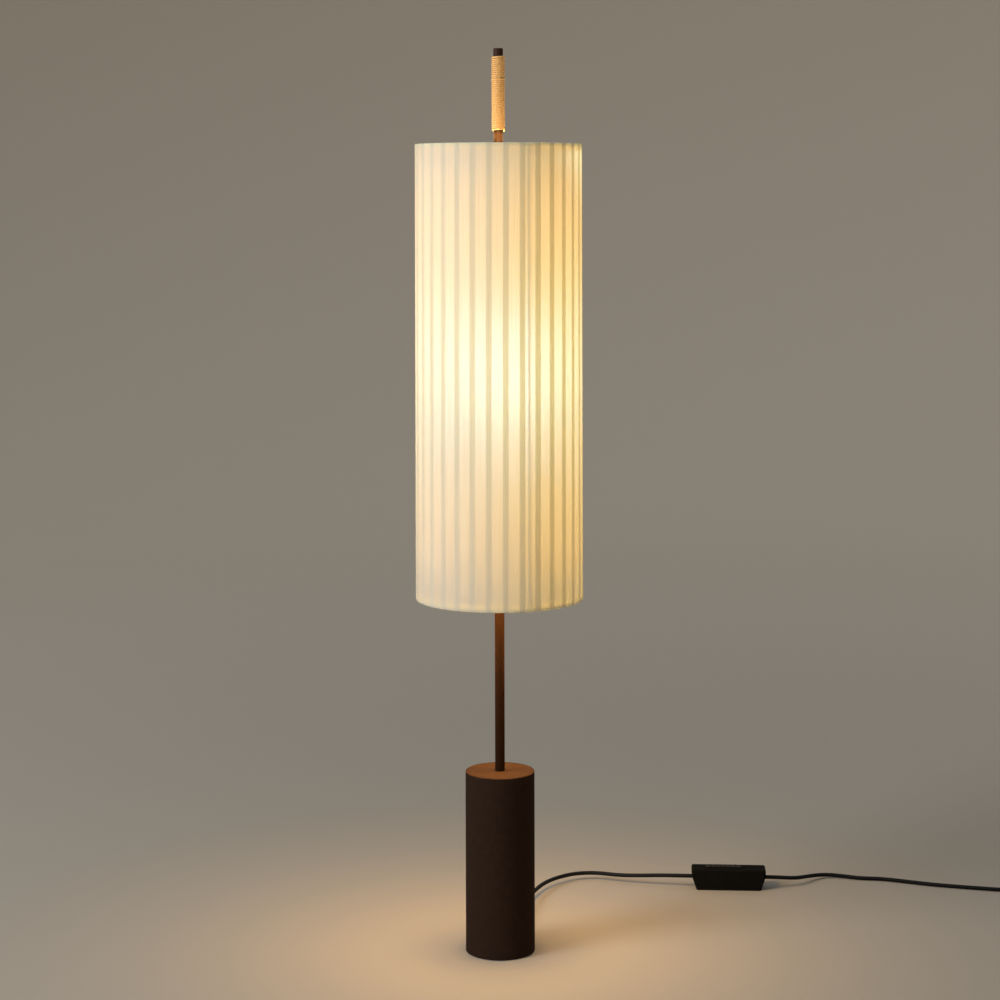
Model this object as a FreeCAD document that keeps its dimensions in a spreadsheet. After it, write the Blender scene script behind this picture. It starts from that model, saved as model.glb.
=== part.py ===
import FreeCAD, Part
import math
import os
from types import SimpleNamespace

import Sketcher

V = FreeCAD.Vector

# Driving dimensions in millimetres, degrees and counts
SIZES = {
    # Heights of the stand, from the floor upwards
    "base_height": 260,
    "pole_gap": 251,
    "shade_height": 657,
    "grip_gap": 19,
    "grip_length": 109,
    "cap_height": 11,
    # Base
    "base_diameter": 100,
    "base_wall": 2.5,
    "base_lid": 4,
    "base_chamfer": 0.8,
    "base_lift": 1,
    "foot_thickness": 2,
    "plate_thickness": 4,
    "skirt_wall": 12,
    "recess_height": 50,
    "screw_count": 3,
    "screw_diameter": 5,
    "screw_head_diameter": 9,
    "screw_head_height": 2.6,
    "screw_length": 16,
    "screw_socket_diameter": 3.4,
    "screw_socket_depth": 1.6,
    # Pole
    "pole_diameter": 14,
    "pole_wall": 1.5,
    "pole_foot": 12,
    "pole_nut_width": 22,
    "pole_nut_height": 8,
    "pole_washer_diameter": 28,
    "pole_washer_thickness": 2,
    "cap_spigot": 14,
    "cap_chamfer": 0.8,
    # Clearances
    "seat_gap": 0.15,
    "running_gap": 0.3,
    # Grip winding
    "grip_cord_diameter": 2.6,
    "grip_turn_gap": 0.45,
    "grip_lower_length": 76,
    "grip_join_gap": 0.6,
    # Shade
    "shade_diameter": 243,
    "ribbon_count": 32,
    "ribbon_width": 32.3,
    "ribbon_thickness": 0.5,
    "ribbon_gap": 0.2,
    "ribbon_phase": 10.125,
    "ring_wire": 3,
    "upright_wire": 2,
    "arm_count": 3,
    "arm_wire": 4,
    "arm_phase": -69.4,
    "hub_diameter": 26,
    "hub_height": 12,
    "hub_inset": 8,
    "stop_diameter": 24,
    "stop_height": 10,
    "grub_diameter": 4,
    "grub_recess": 0.5,
    # Lampholder and bulb
    "holder_rise": 189,
    "holder_reach": 46,
    "bracket_thickness": 3,
    "bracket_width": 22,
    "bracket_tip": 14,
    "collar_diameter": 25,
    "collar_height": 16,
    "nipple_diameter": 10,
    "nipple_bore": 6.8,
    "nipple_below": 10,
    "nipple_above": 21,
    "nipple_nut_width": 14,
    "nipple_nut_height": 5,
    "holder_diameter": 40,
    "holder_wall": 3,
    "holder_floor": 4,
    "holder_height": 58,
    "block_height": 22,
    "block_bore_diameter": 16.5,
    "socket_wall": 0.8,
    "socket_length": 26,
    "contact_height": 2.5,
    "contact_width": 6,
    "bulb_cap_diameter": 26.4,
    "bulb_cap_length": 24,
    "bulb_tip_diameter": 9,
    "bulb_tip_height": 2.5,
    "bulb_diameter": 60,
    "bulb_neck_diameter": 28,
    "bulb_centre_rise": 52,
    "bulb_shoulder_drop": 20,
    "bulb_glass_wall": 1.2,
    "stem_diameter": 4,
    "stem_disc_diameter": 16,
    "stem_disc_thickness": 1,
    "filament_diameter": 2,
    "filament_length": 38,
    "filament_count": 4,
    # Lead and the way it leaves the base
    "lead_diameter": 6,
    "exit_angle": 12,
    "exit_height": 17,
    "gland_neck_diameter": 10,
    "gland_flange_diameter": 14,
    "gland_flange": 2.5,
    "gland_taper_length": 25,
    "gland_tip_diameter": 8.6,
    "inner_bend": 24,
    "holder_bend": 18,
    "slot_width": 7.6,
    "slot_margin": 1.6,
    # Dimmer on the lead
    "dimmer_x": 360,
    "dimmer_y": 298.5,
    "dimmer_turn": -3.6,
    "dimmer_length": 116,
    "dimmer_foot_length": 101.5,
    "dimmer_width": 33,
    "dimmer_height": 32,
    "dimmer_split": 21.5,
    "dimmer_wall": 2,
    "dimmer_corner": 4,
    "dimmer_edge": 2.5,
    "dimmer_lead_height": 17.5,
    "dimmer_lead_depth": 8.5,
    "slider_length": 56,
    "slider_width": 12,
    "slider_height": 1.6,
    "slider_offset": -8.5,
    "slider_travel": 34,
    "slider_stem_length": 4,
    "slider_stem_width": 3,
    "slider_stem_depth": 12,
    "ridge_count": 6,
    "ridge_pitch": 7.6,
    "ridge_width": 3.2,
    "ridge_height": 0.9,
    "board_height": 8.4,
    "board_thickness": 1.6,
    "board_length": 96,
    "pot_length": 66,
    "pot_width": 9,
    "pot_height": 13,
    "pot_slot_gap": 0.5,
    "terminal_length": 6.2,
    "terminal_width": 16,
    "terminal_height": 12,
    "dimmer_screw_diameter": 3,
    "dimmer_screw_head_diameter": 5.6,
    "dimmer_screw_head_height": 1.6,
    "dimmer_screw_x": 39,
    "dimmer_boss_diameter": 6.4,
    # Coil, tie and plug at the end of the lead
    "coil_x": 840,
    "coil_y": 268,
    "coil_radius": 37.5,
    "coil_turn_gap": 0.6,
    "coil_turns_in": 1.75,
    "coil_turns_out": 2,
    "tie_thickness": 0.6,
    "tie_width": 12,
    "tie_gap": 0.3,
    "plug_tail": 62,
    "boot_length": 24,
    "boot_start_diameter": 8.2,
    "boot_end_diameter": 12,
    "plug_width": 35.3,
    "plug_thickness": 13.7,
    "plug_back_width": 14,
    "plug_taper_length": 16,
    "plug_length": 36,
    "plug_edge": 2,
    "pin_diameter": 4,
    "pin_length": 19,
    "pin_spacing": 18.6,
    "pin_chamfer": 0.8,
}

# The lead's free stretches, as points chosen by hand on the floor behind the lamp
ROUTE_TO_DIMMER = [
    (30.0, 140.6, 15.5),
    (39.8, 191.3, 13.6),
    (54.0, 247.0, 12.4),
    (70.4, 288.5, 11.8),
    (92.0, 318.3, 11.2),
    (120.0, 340.4, 10.8),
    (154.0, 344.2, 10.6),
    (188.0, 328.2, 11.0),
    (222.0, 317.0, 13.8),
    (252.0, 309.6, 16.4),
]
ROUTE_TO_COIL = [
    (467.0, 304.3, 12.6),
    (494.0, 333.2, 8.0),
    (521.0, 350.3, 5.0),
    (548.0, 346.1, 3.6),
    (575.0, 335.2, 3.1),
    (607.7, 332.8, 3.1),
    (647.7, 315.4, 3.1),
    (687.5, 298.8, 3.1),
    (737.6, 284.6, 3.1),
    (785.7, 272.0, 3.2),
]
FIRST_RUN = 22
DIMMER_RUN = 24
ARC_SHARE = 0.45
PATH_STEP = 1.2
QUARTER = 0.25


class Size:
    """A number with the sheet expression that gives it."""

    def __init__(self, value, text):
        self.value = value
        self.text = text

    def join(self, sign, other, value):
        return Size(value, f"({self.text} {sign} {words(other)})")

    def __add__(self, other):
        return self.join("+", other, self.value + number(other))

    def __sub__(self, other):
        return self.join("-", other, self.value - number(other))

    def __mul__(self, other):
        return self.join("*", other, self.value * number(other))

    def __truediv__(self, other):
        return self.join("/", other, self.value / number(other))

    def __neg__(self):
        return Size(-self.value, f"(-1 * {self.text})")

    def sin(self):
        return Size(math.sin(math.radians(self.value)), f"sin({self.text} * 1 deg)")

    def cos(self):
        return Size(math.cos(math.radians(self.value)), f"cos({self.text} * 1 deg)")


def number(size):
    return size.value if isinstance(size, Size) else size


def words(size):
    return size.text if isinstance(size, Size) else repr(size)


doc = FreeCAD.newDocument("fabric_floor_lamp")
sheet = doc.addObject("Spreadsheet::Sheet", "Sizes")
for row, (alias, amount) in enumerate(SIZES.items(), start=1):
    sheet.set(f"A{row}", alias)
    sheet.set(f"B{row}", str(amount))
    sheet.setAlias(f"B{row}", alias)
doc.recompute()
dim = SimpleNamespace(**{alias: Size(float(sheet.get(alias)), f"Sizes.{alias}") for alias in SIZES})
pieces = []


# Helpers that bind objects of the document to the sheet


def bind(thing, path, size):
    """Give a property its size, live from the sheet where the size comes from there."""
    if isinstance(size, Size):
        thing.setExpression(path, size.text)
    else:
        target, _, last = path.rpartition(".")
        setattr(getattr(thing, target) if target else thing, last, size)


def keep(thing, label):
    """Name a finished sub-part."""
    thing.Label = label
    pieces.append(thing)
    return thing


def place(thing, x=0, y=0, z=0, axis=V(0, 0, 1), angle=0):
    thing.Placement = FreeCAD.Placement(
        V(number(x), number(y), number(z)), FreeCAD.Rotation(axis, number(angle))
    )
    for path, size in (("Base.x", x), ("Base.y", y), ("Base.z", z), ("Rotation.Angle", angle)):
        if isinstance(size, Size):
            thing.setExpression(f"Placement.{path}", size.text)
    return thing


def new_body(label):
    body = doc.addObject("PartDesign::Body", label)
    body.AllowCompound = True
    return keep(body, label)


def origin_part(body, role):
    return next(part for part in body.Origin.OriginFeatures if part.Role == role)


def new_sketch(body, plane, rise=0):
    """A sketch on one of the body's own planes, raised along the plane's normal."""
    sketch = body.newObject("Sketcher::SketchObject", "outline")
    sketch.AttachmentSupport = (origin_part(body, plane), [""])
    sketch.MapMode = "FlatFace"
    sketch.AttachmentOffset = FreeCAD.Placement(V(0, 0, number(rise)), FreeCAD.Rotation())
    if isinstance(rise, Size):
        sketch.setExpression("AttachmentOffset.Base.z", rise.text)
    return sketch


def constrain(sketch, kind, *parts):
    """Add a constraint; a size at its end stays bound to the sheet."""
    size = parts[-1]
    if isinstance(size, Size):
        index = sketch.addConstraint(Sketcher.Constraint(kind, *parts[:-1], size.value))
        sketch.setExpression(f"Constraints[{index}]", size.text)
    else:
        sketch.addConstraint(Sketcher.Constraint(kind, *parts))


def pin_point(sketch, index, end, x, y):
    """Hold one point of the sketch at its coordinates."""
    for kind, axis, size in (("DistanceX", -2, x), ("DistanceY", -1, y)):
        if isinstance(size, Size):
            constrain(sketch, kind, -1, 1, index, end, size)
        else:
            constrain(sketch, "PointOnObject", index, end, axis)


def draw_polygon(sketch, points):
    """A closed outline of straight lines through the given corners."""
    corners = [V(number(x), number(y), 0) for x, y in points]
    first = sketch.GeometryCount
    for start, finish in zip(corners, corners[1:] + corners[:1]):
        sketch.addGeometry(Part.LineSegment(start, finish), False)
    for index in range(len(corners)):
        following = first + (index + 1) % len(corners)
        constrain(sketch, "Coincident", first + index, 2, following, 1)
    for index, (x, y) in enumerate(points):
        pin_point(sketch, first + index, 1, x, y)


def draw_circle(sketch, radius, x=0, y=0):
    index = sketch.addGeometry(Part.Circle(V(number(x), number(y), 0), V(0, 0, 1), radius.value), False)
    pin_point(sketch, index, 3, x, y)
    constrain(sketch, "Radius", index, radius)


def rectangle(half_x, half_y, x=0, y=0):
    """Corners of a rectangle about a centre."""
    if number(x) == 0 and not isinstance(x, Size):
        low_x, high_x = -half_x, half_x
    else:
        low_x, high_x = x - half_x, x + half_x
    if number(y) == 0 and not isinstance(y, Size):
        low_y, high_y = -half_y, half_y
    else:
        low_y, high_y = y - half_y, y + half_y
    return [(low_x, low_y), (high_x, low_y), (high_x, high_y), (low_x, high_y)]


def revolve(body, points, axis_x=None):
    """Turn a profile of radius and height about the body's own axis, or one beside it."""
    sketch = new_sketch(body, "XZ_Plane")
    draw_polygon(sketch, points)
    axis = "V_Axis"
    if axis_x is not None:
        reach = max(abs(number(y)) for _, y in points) + 1
        line = Part.LineSegment(V(axis_x.value, 0, 0), V(axis_x.value, reach, 0))
        index = sketch.addGeometry(line, True)
        constrain(sketch, "Vertical", index)
        pin_point(sketch, index, 1, axis_x, 0)
        axis = "Axis0"
    turn = body.newObject("PartDesign::Revolution", "turn")
    turn.Profile = sketch
    turn.ReferenceAxis = (sketch, [axis])
    turn.Angle = 360
    doc.recompute()
    return turn


def turned(label, points, axis_x=None):
    body = new_body(label)
    return body, revolve(body, points, axis_x)


def add_pad(body, sketch, length, midplane=False, downwards=False):
    pad = body.newObject("PartDesign::Pad", "pad")
    pad.Profile = sketch
    bind(pad, "Length", length)
    pad.SideType = "Symmetric" if midplane else "One side"
    pad.Reversed = downwards
    doc.recompute()
    return pad


def cut_pocket(body, sketch, length, midplane=False, along_normal=False):
    """Cut a sketch out of the body and make sure that it took something away."""
    before = body.Shape.Volume
    pocket = body.newObject("PartDesign::Pocket", "pocket")
    pocket.Profile = sketch
    bind(pocket, "Length", length)
    pocket.SideType = "Symmetric" if midplane else "One side"
    pocket.Reversed = along_normal
    doc.recompute()
    if body.Shape.Volume >= before:
        raise RuntimeError(f"a pocket in {body.Label} cuts nothing")
    return pocket


def cut_round(body, plane, radius, length, x=0, y=0, rise=0, midplane=False, along_normal=False):
    sketch = new_sketch(body, plane, rise)
    draw_circle(sketch, radius, x, y)
    return cut_pocket(body, sketch, length, midplane, along_normal)


def repeat_round(body, features, count):
    """Repeat features evenly about the body's axis."""
    pattern = body.newObject("PartDesign::PolarPattern", "pattern")
    pattern.Originals = features
    pattern.Axis = (origin_part(body, "Z_Axis"), [""])
    pattern.Angle = 360
    bind(pattern, "Occurrences", count)
    body.Tip = pattern
    doc.recompute()
    return pattern


def repeat_along(body, features, step, count):
    """Repeat features along the body's X axis."""
    pattern = body.newObject("PartDesign::LinearPattern", "pattern")
    pattern.Originals = features
    pattern.Direction = (origin_part(body, "X_Axis"), [""])
    pattern.Mode = "Spacing"
    bind(pattern, "Offset", step)
    bind(pattern, "Occurrences", count)
    body.Tip = pattern
    doc.recompute()
    return pattern


def dress(body, kind, feature, size, wanted):
    """Fillet or chamfer the edges of a feature that pass a test."""
    names = [f"Edge{i}" for i, edge in enumerate(feature.Shape.Edges, start=1) if wanted(edge)]
    dressing = body.newObject(f"PartDesign::{kind}", kind.lower())
    dressing.Base = (feature, names)
    bind(dressing, "Radius" if kind == "Fillet" else "Size", size)
    doc.recompute()
    return dressing


def is_upright(edge):
    """An edge that rises from one level to another."""
    box = edge.BoundBox
    return box.ZLength > box.XLength and box.ZLength > box.YLength


def at_height(height):
    return lambda edge: abs(edge.BoundBox.ZMin - height) + abs(edge.BoundBox.ZMax - height) < 1e-6


def fuse(label, shapes):
    group = doc.addObject("Part::MultiFuse", label)
    group.Shapes = shapes
    return group


def subtract(label, base, tool):
    cut = doc.addObject("Part::Cut", label)
    cut.Base = base
    cut.Tool = tool
    return cut


def hexagon(width):
    """Corners of a hexagon, given across its flats."""
    long, short, half = width / math.sqrt(3), width / (2 * math.sqrt(3)), width / 2
    return [(long, 0), (short, half), (-short, half), (-long, 0), (-short, -half), (short, -half)]


def hex_nut(label, width, height, bore, level):
    body = new_body(label)
    sketch = new_sketch(body, "XY_Plane", level)
    draw_polygon(sketch, hexagon(width))
    draw_circle(sketch, bore)
    add_pad(body, sketch, height)
    return body


# Paths of tubes


def unit(vector):
    return V(vector).normalize()


def line_edge(start, finish):
    return Part.LineSegment(start, finish).toShape()


def rounded(label, points):
    """Straight runs joined by tangent arcs, each as large as its two runs allow."""
    edges = []
    radii = []
    start = points[0]
    for before, corner, after in zip(points, points[1:], points[2:]):
        into, out = corner - before, after - corner
        half_turn = into.getAngle(out) / 2
        trim = ARC_SHARE * min(into.Length, out.Length)
        radius = trim / math.tan(half_turn)
        inward = unit(unit(out) - unit(into))
        arc_start = corner - unit(into) * trim
        arc_end = corner + unit(out) * trim
        middle = corner + inward * (radius / math.cos(half_turn) - radius)
        edges.append(line_edge(start, arc_start))
        edges.append(Part.Arc(arc_start, middle, arc_end).toShape())
        radii.append(round(radius))
        start = arc_end
    edges.append(line_edge(start, points[-1]))
    print(label, "radii", radii)
    return edges


def bend(corner, into, out, radius):
    """A quarter arc of a stated radius about a corner."""
    middle = corner + unit(out - into) * (radius * (math.sqrt(2) - 1))
    return Part.Arc(corner - into * radius, middle, corner + out * radius).toShape()


def arc_between(start, corner, finish):
    """The arc that leaves start towards corner and reaches finish from it."""
    chord_middle = (start + finish) / 2
    half_chord = (finish - start).Length / 2
    rise = corner - chord_middle
    sagitta = half_chord * math.tan(math.atan2(rise.Length, half_chord) / 2)
    return Part.Arc(start, chord_middle + unit(rise) * sagitta, finish).toShape()


def biarc(start, start_way, finish, finish_way):
    """Two tangent arcs from one point and direction to another."""
    across = finish - start
    ways = start_way + finish_way
    square = 2 * (1 - start_way.dot(finish_way))
    linear = 2 * across.dot(ways)
    reach = (-linear + math.sqrt(linear**2 + 4 * square * across.dot(across))) / (2 * square)
    first, second = start + start_way * reach, finish - finish_way * reach
    joint = (first + second) / 2
    return [arc_between(start, first, joint), arc_between(joint, second, finish)]


def wound(stations, straight):
    """Biarcs through stations of place and direction, with a straight end each side."""
    edges = [line_edge(stations[0][0] - stations[0][1] * straight, stations[0][0])]
    for (start, start_way), (finish, finish_way) in zip(stations, stations[1:]):
        edges += biarc(start, start_way, finish, finish_way)
    edges.append(line_edge(stations[-1][0], stations[-1][0] + stations[-1][1] * straight))
    return edges


def self_gap(edges, diameter):
    """Least gap of a tube to itself, measured between points of its middle line."""
    marks = []
    along = 0.0
    for edge in edges:
        steps = max(2, math.ceil(edge.Length / (PATH_STEP * diameter)))
        for point in edge.discretize(steps + 1)[:-1]:
            marks.append((along, point))
            along += edge.Length / steps
    far = 2 * math.pi * diameter
    least = min(
        (one - two).Length
        for i, (at, one) in enumerate(marks)
        for away, two in marks[i + 1 :]
        if away - at > far
    )
    return least - diameter


def tube(label, edges, diameter):
    """A round tube along a path, with its volume compared with section times length."""
    wire = Part.Wire(edges)
    start = edges[0].firstVertex().Point
    way = edges[0].tangentAt(edges[0].FirstParameter)
    ring = Part.Wire(Part.makeCircle(diameter / 2, start, way))
    solid = wire.makePipeShell([ring], True, False)
    expected = math.pi * diameter**2 / 4 * wire.Length
    print(f"{label} length {wire.Length:.1f}, volume over section times length {solid.Volume / expected:.4f}")
    thing = doc.addObject("Part::Feature", label)
    thing.Shape = solid
    return keep(thing, label)


# Levels and radii that several pieces share

base_r = dim.base_diameter / 2
inside_r = base_r - dim.base_wall - dim.seat_gap
plate_bottom = dim.foot_thickness
weight_bottom = plate_bottom + dim.plate_thickness
weight_top = dim.base_height - dim.base_lid
recess_top = weight_bottom + dim.recess_height
recess_r = inside_r - dim.skirt_wall
screw_pitch_r = inside_r - dim.skirt_wall / 2
pole_r = dim.pole_diameter / 2
pole_bore_r = pole_r - dim.pole_wall
pole_seat_r = pole_r + dim.seat_gap
pole_bottom = recess_top - dim.pole_foot
shade_bottom = dim.base_height + dim.pole_gap
shade_top = shade_bottom + dim.shade_height
grip_bottom = shade_top + dim.grip_gap
grip_top = grip_bottom + dim.grip_length
lead_r = dim.lead_diameter / 2
lead_seat_r = lead_r + dim.seat_gap


# Base


def make_foot():
    turned("foot_pad", [(0, 0), (inside_r, 0), (inside_r, plate_bottom), (0, plate_bottom)])


def make_plate():
    profile = [(0, plate_bottom), (inside_r, plate_bottom), (inside_r, weight_bottom), (0, weight_bottom)]
    body, _ = turned("base_plate", profile)
    head_r = dim.screw_head_diameter / 2 + dim.seat_gap
    shank_r = dim.screw_diameter / 2 + dim.seat_gap
    seat = cut_round(
        body, "XY_Plane", head_r, dim.screw_head_height, screw_pitch_r, 0, plate_bottom, along_normal=True
    )
    hole = cut_round(
        body, "XY_Plane", shank_r, dim.plate_thickness, screw_pitch_r, 0, plate_bottom, along_normal=True
    )
    repeat_round(body, [seat, hole], dim.screw_count)
    place(body, angle=-dim.exit_angle)


def make_screws():
    """Three cap screws that hold the plate to the weight."""
    head_top = plate_bottom + dim.screw_head_height
    socket_top = plate_bottom + dim.screw_socket_depth
    axis = screw_pitch_r
    socket_x = axis + dim.screw_socket_diameter / 2
    head_x = axis + dim.screw_head_diameter / 2
    shank_x = axis + dim.screw_diameter / 2
    end = head_top + dim.screw_length
    profile = [
        (axis, socket_top),
        (socket_x, socket_top),
        (socket_x, plate_bottom),
        (head_x, plate_bottom),
        (head_x, head_top),
        (shank_x, head_top),
        (shank_x, end),
        (axis, end),
    ]
    body, turn = turned("base_screws", profile, axis)
    repeat_round(body, [turn], dim.screw_count)
    place(body, angle=-dim.exit_angle)


def make_weight():
    """Cast block with a wiring recess below and a bore for the pole."""
    profile = [
        (recess_r, weight_bottom),
        (inside_r, weight_bottom),
        (inside_r, weight_top),
        (pole_seat_r, weight_top),
        (pole_seat_r, recess_top),
        (recess_r, recess_top),
    ]
    body, _ = turned("counterweight", profile)
    neck_r = dim.gland_neck_diameter / 2 + dim.seat_gap
    cut_round(body, "XZ_Plane", neck_r, base_r, 0, dim.exit_height)
    shank_r = dim.screw_diameter / 2 + dim.seat_gap
    depth = dim.screw_head_height + dim.screw_length - dim.plate_thickness + dim.seat_gap
    hole = cut_round(
        body, "XY_Plane", shank_r, depth, screw_pitch_r, 0, weight_bottom, along_normal=True
    )
    repeat_round(body, [hole], dim.screw_count)
    place(body, angle=-dim.exit_angle)


def make_casing():
    """Drawn cylinder with a flat lid, holed for the pole and for the lead."""
    bore_r = base_r - dim.base_wall
    profile = [
        (bore_r, dim.base_lift),
        (base_r, dim.base_lift),
        (base_r, dim.base_height),
        (pole_seat_r, dim.base_height),
        (pole_seat_r, weight_top),
        (bore_r, weight_top),
    ]
    body, turn = turned("base_casing", profile)
    on_rim = at_height(dim.base_height.value)
    dress(
        body,
        "Chamfer",
        turn,
        dim.base_chamfer,
        lambda edge: on_rim(edge) and edge.BoundBox.XLength > base_r.value,
    )
    neck_r = dim.gland_neck_diameter / 2 + dim.seat_gap
    cut_round(body, "XZ_Plane", neck_r, dim.base_diameter, 0, dim.exit_height)
    place(body, angle=-dim.exit_angle)


def make_pole_fixing():
    washer_bottom = recess_top - dim.pole_washer_thickness
    washer_r = dim.pole_washer_diameter / 2
    turned(
        "pole_washer",
        [
            (pole_seat_r, washer_bottom),
            (washer_r, washer_bottom),
            (washer_r, recess_top),
            (pole_seat_r, recess_top),
        ],
    )
    nut_bottom = washer_bottom - dim.pole_nut_height
    hex_nut("pole_nut", dim.pole_nut_width, dim.pole_nut_height, pole_seat_r, nut_bottom)


def make_gland():
    """Strain relief: a neck through the wall, a flange inside and a long taper outside."""
    neck_r = dim.gland_neck_diameter / 2
    flange_r = dim.gland_flange_diameter / 2
    inner_face = recess_r - dim.gland_flange / 2
    profile = [
        (lead_seat_r, inner_face - dim.gland_flange),
        (flange_r, inner_face - dim.gland_flange),
        (flange_r, inner_face),
        (neck_r, inner_face),
        (neck_r, base_r),
        (flange_r, base_r),
        (flange_r, base_r + dim.gland_flange),
        (dim.gland_tip_diameter / 2, base_r + dim.gland_taper_length),
        (lead_seat_r, base_r + dim.gland_taper_length),
    ]
    body, _ = turned("cord_gland", profile)
    body.Placement = FreeCAD.Placement(V(), FreeCAD.Rotation("XYZ", -90, 0, -dim.exit_angle.value))
    body.setExpression("Placement.Base.z", dim.exit_height.text)


# Pole, cap and grip


def make_pole():
    profile = [
        (pole_bore_r, pole_bottom),
        (pole_r, pole_bottom),
        (pole_r, grip_top),
        (pole_bore_r, grip_top),
    ]
    body, _ = turned("pole", profile)
    sketch = new_sketch(body, "XZ_Plane")
    low = slot_bottom - dim.slot_margin
    high = slot_top + dim.slot_margin
    half = dim.slot_width / 2
    draw_polygon(sketch, [(-half, low), (half, low), (half, high), (-half, high)])
    cut_pocket(body, sketch, dim.pole_diameter, along_normal=True)


def make_cap():
    spigot_r = pole_bore_r - dim.seat_gap
    top = grip_top + dim.cap_height
    profile = [
        (0, grip_top - dim.cap_spigot),
        (spigot_r, grip_top - dim.cap_spigot),
        (spigot_r, grip_top),
        (pole_r, grip_top),
        (pole_r, top - dim.cap_chamfer),
        (pole_r - dim.cap_chamfer, top),
        (0, top),
    ]
    turned("pole_cap", profile)


def make_winding(label, bottom, length):
    """One length of cord wound tightly round the pole."""
    diameter = dim.grip_cord_diameter.value
    middle_r = pole_r.value + dim.seat_gap.value + diameter / 2
    climb = length - diameter
    turns = math.floor(climb / (diameter + dim.grip_turn_gap.value))
    pitch = climb / turns
    stations = []
    for step in range(2 * turns + 1):
        angle = math.pi * step
        level = bottom + diameter / 2 + pitch * step / 2
        spot = V(middle_r * math.cos(angle), middle_r * math.sin(angle), level)
        way = V(-math.sin(angle) * middle_r, math.cos(angle) * middle_r, pitch / (2 * math.pi))
        stations.append((spot, unit(way)))
    edges = wound(stations, diameter)
    print(f"{label} turns {turns}, least gap to itself {self_gap(edges, diameter):.3f}")
    tube(label, edges, diameter)


# Lampholder on its bracket

bracket_bottom = shade_bottom + dim.holder_rise
bracket_top = bracket_bottom + dim.bracket_thickness
nipple_bottom = bracket_bottom - dim.nipple_below
nipple_top = bracket_top + dim.nipple_above
nipple_r = dim.nipple_diameter / 2
nipple_seat_r = nipple_r + dim.seat_gap
holder_inside_r = dim.holder_diameter / 2 - dim.holder_wall
holder_floor_top = bracket_top + dim.holder_floor
block_top = holder_floor_top + dim.block_height
block_r = holder_inside_r - dim.seat_gap
cap_r = dim.bulb_cap_diameter / 2
cap_bottom = block_top + dim.contact_height + dim.bulb_tip_height
cap_top = cap_bottom + dim.bulb_cap_length
holder_y = -dim.holder_reach
lead_turn_level = nipple_bottom - dim.holder_bend * 2
slot_inner_bend = dim.holder_bend - lead_r
slot_outer_bend = dim.holder_bend + lead_r


def rise_at(bend_radius, reach):
    """How far a bend has climbed where it has moved sideways to the given reach."""
    across = dim.holder_bend - reach
    level = math.sqrt(bend_radius.value**2 - across.value**2)
    square = f"sqrt({bend_radius.text} ^ 2 - {across.text} ^ 2)"
    return Size(level, square)


slot_bottom = lead_turn_level + rise_at(slot_inner_bend, pole_bore_r)
slot_top = lead_turn_level + rise_at(slot_outer_bend, pole_r)


def make_bracket():
    """Collar on the pole with a flat arm that carries the lampholder."""
    body = new_body("holder_bracket")
    arm = new_sketch(body, "XY_Plane", bracket_bottom)
    half = dim.bracket_width / 2
    tip = holder_y - dim.bracket_tip
    draw_polygon(arm, [(-half, tip), (half, tip), (half, 0), (-half, 0)])
    plate = add_pad(body, arm, dim.bracket_thickness)
    is_tip = lambda edge: is_upright(edge) and edge.BoundBox.YMax < holder_y.value
    dress(body, "Fillet", plate, dim.bracket_tip / 2, is_tip)
    collar = new_sketch(body, "XY_Plane", bracket_bottom)
    draw_circle(collar, dim.collar_diameter / 2)
    add_pad(body, collar, dim.collar_height)
    cut_round(body, "XY_Plane", pole_seat_r, dim.collar_height, rise=bracket_bottom, along_normal=True)
    cut_round(
        body, "XY_Plane", nipple_seat_r, dim.collar_height, 0, holder_y, bracket_bottom, along_normal=True
    )
    grub_r = dim.grub_diameter / 2 + dim.seat_gap
    cut_round(body, "XZ_Plane", grub_r, dim.collar_diameter, 0, collar_screw_level)


collar_screw_level = bracket_top + (dim.collar_height - dim.bracket_thickness) / 2


def make_grub(label, outside_r, level, angle):
    """Headless screw that bears on the pole."""
    socket_r = dim.grub_diameter / 4
    end = outside_r - dim.grub_recess
    grub_r = dim.grub_diameter / 2
    profile = [
        (0, pole_seat_r),
        (grub_r, pole_seat_r),
        (grub_r, end),
        (socket_r, end),
        (socket_r, end - dim.grub_diameter / 2),
        (0, end - dim.grub_diameter / 2),
    ]
    body, _ = turned(label, profile)
    body.Placement = FreeCAD.Placement(V(0, 0, level.value), FreeCAD.Rotation("XYZ", -90, 0, number(angle)))
    body.setExpression("Placement.Base.z", level.text)


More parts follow.
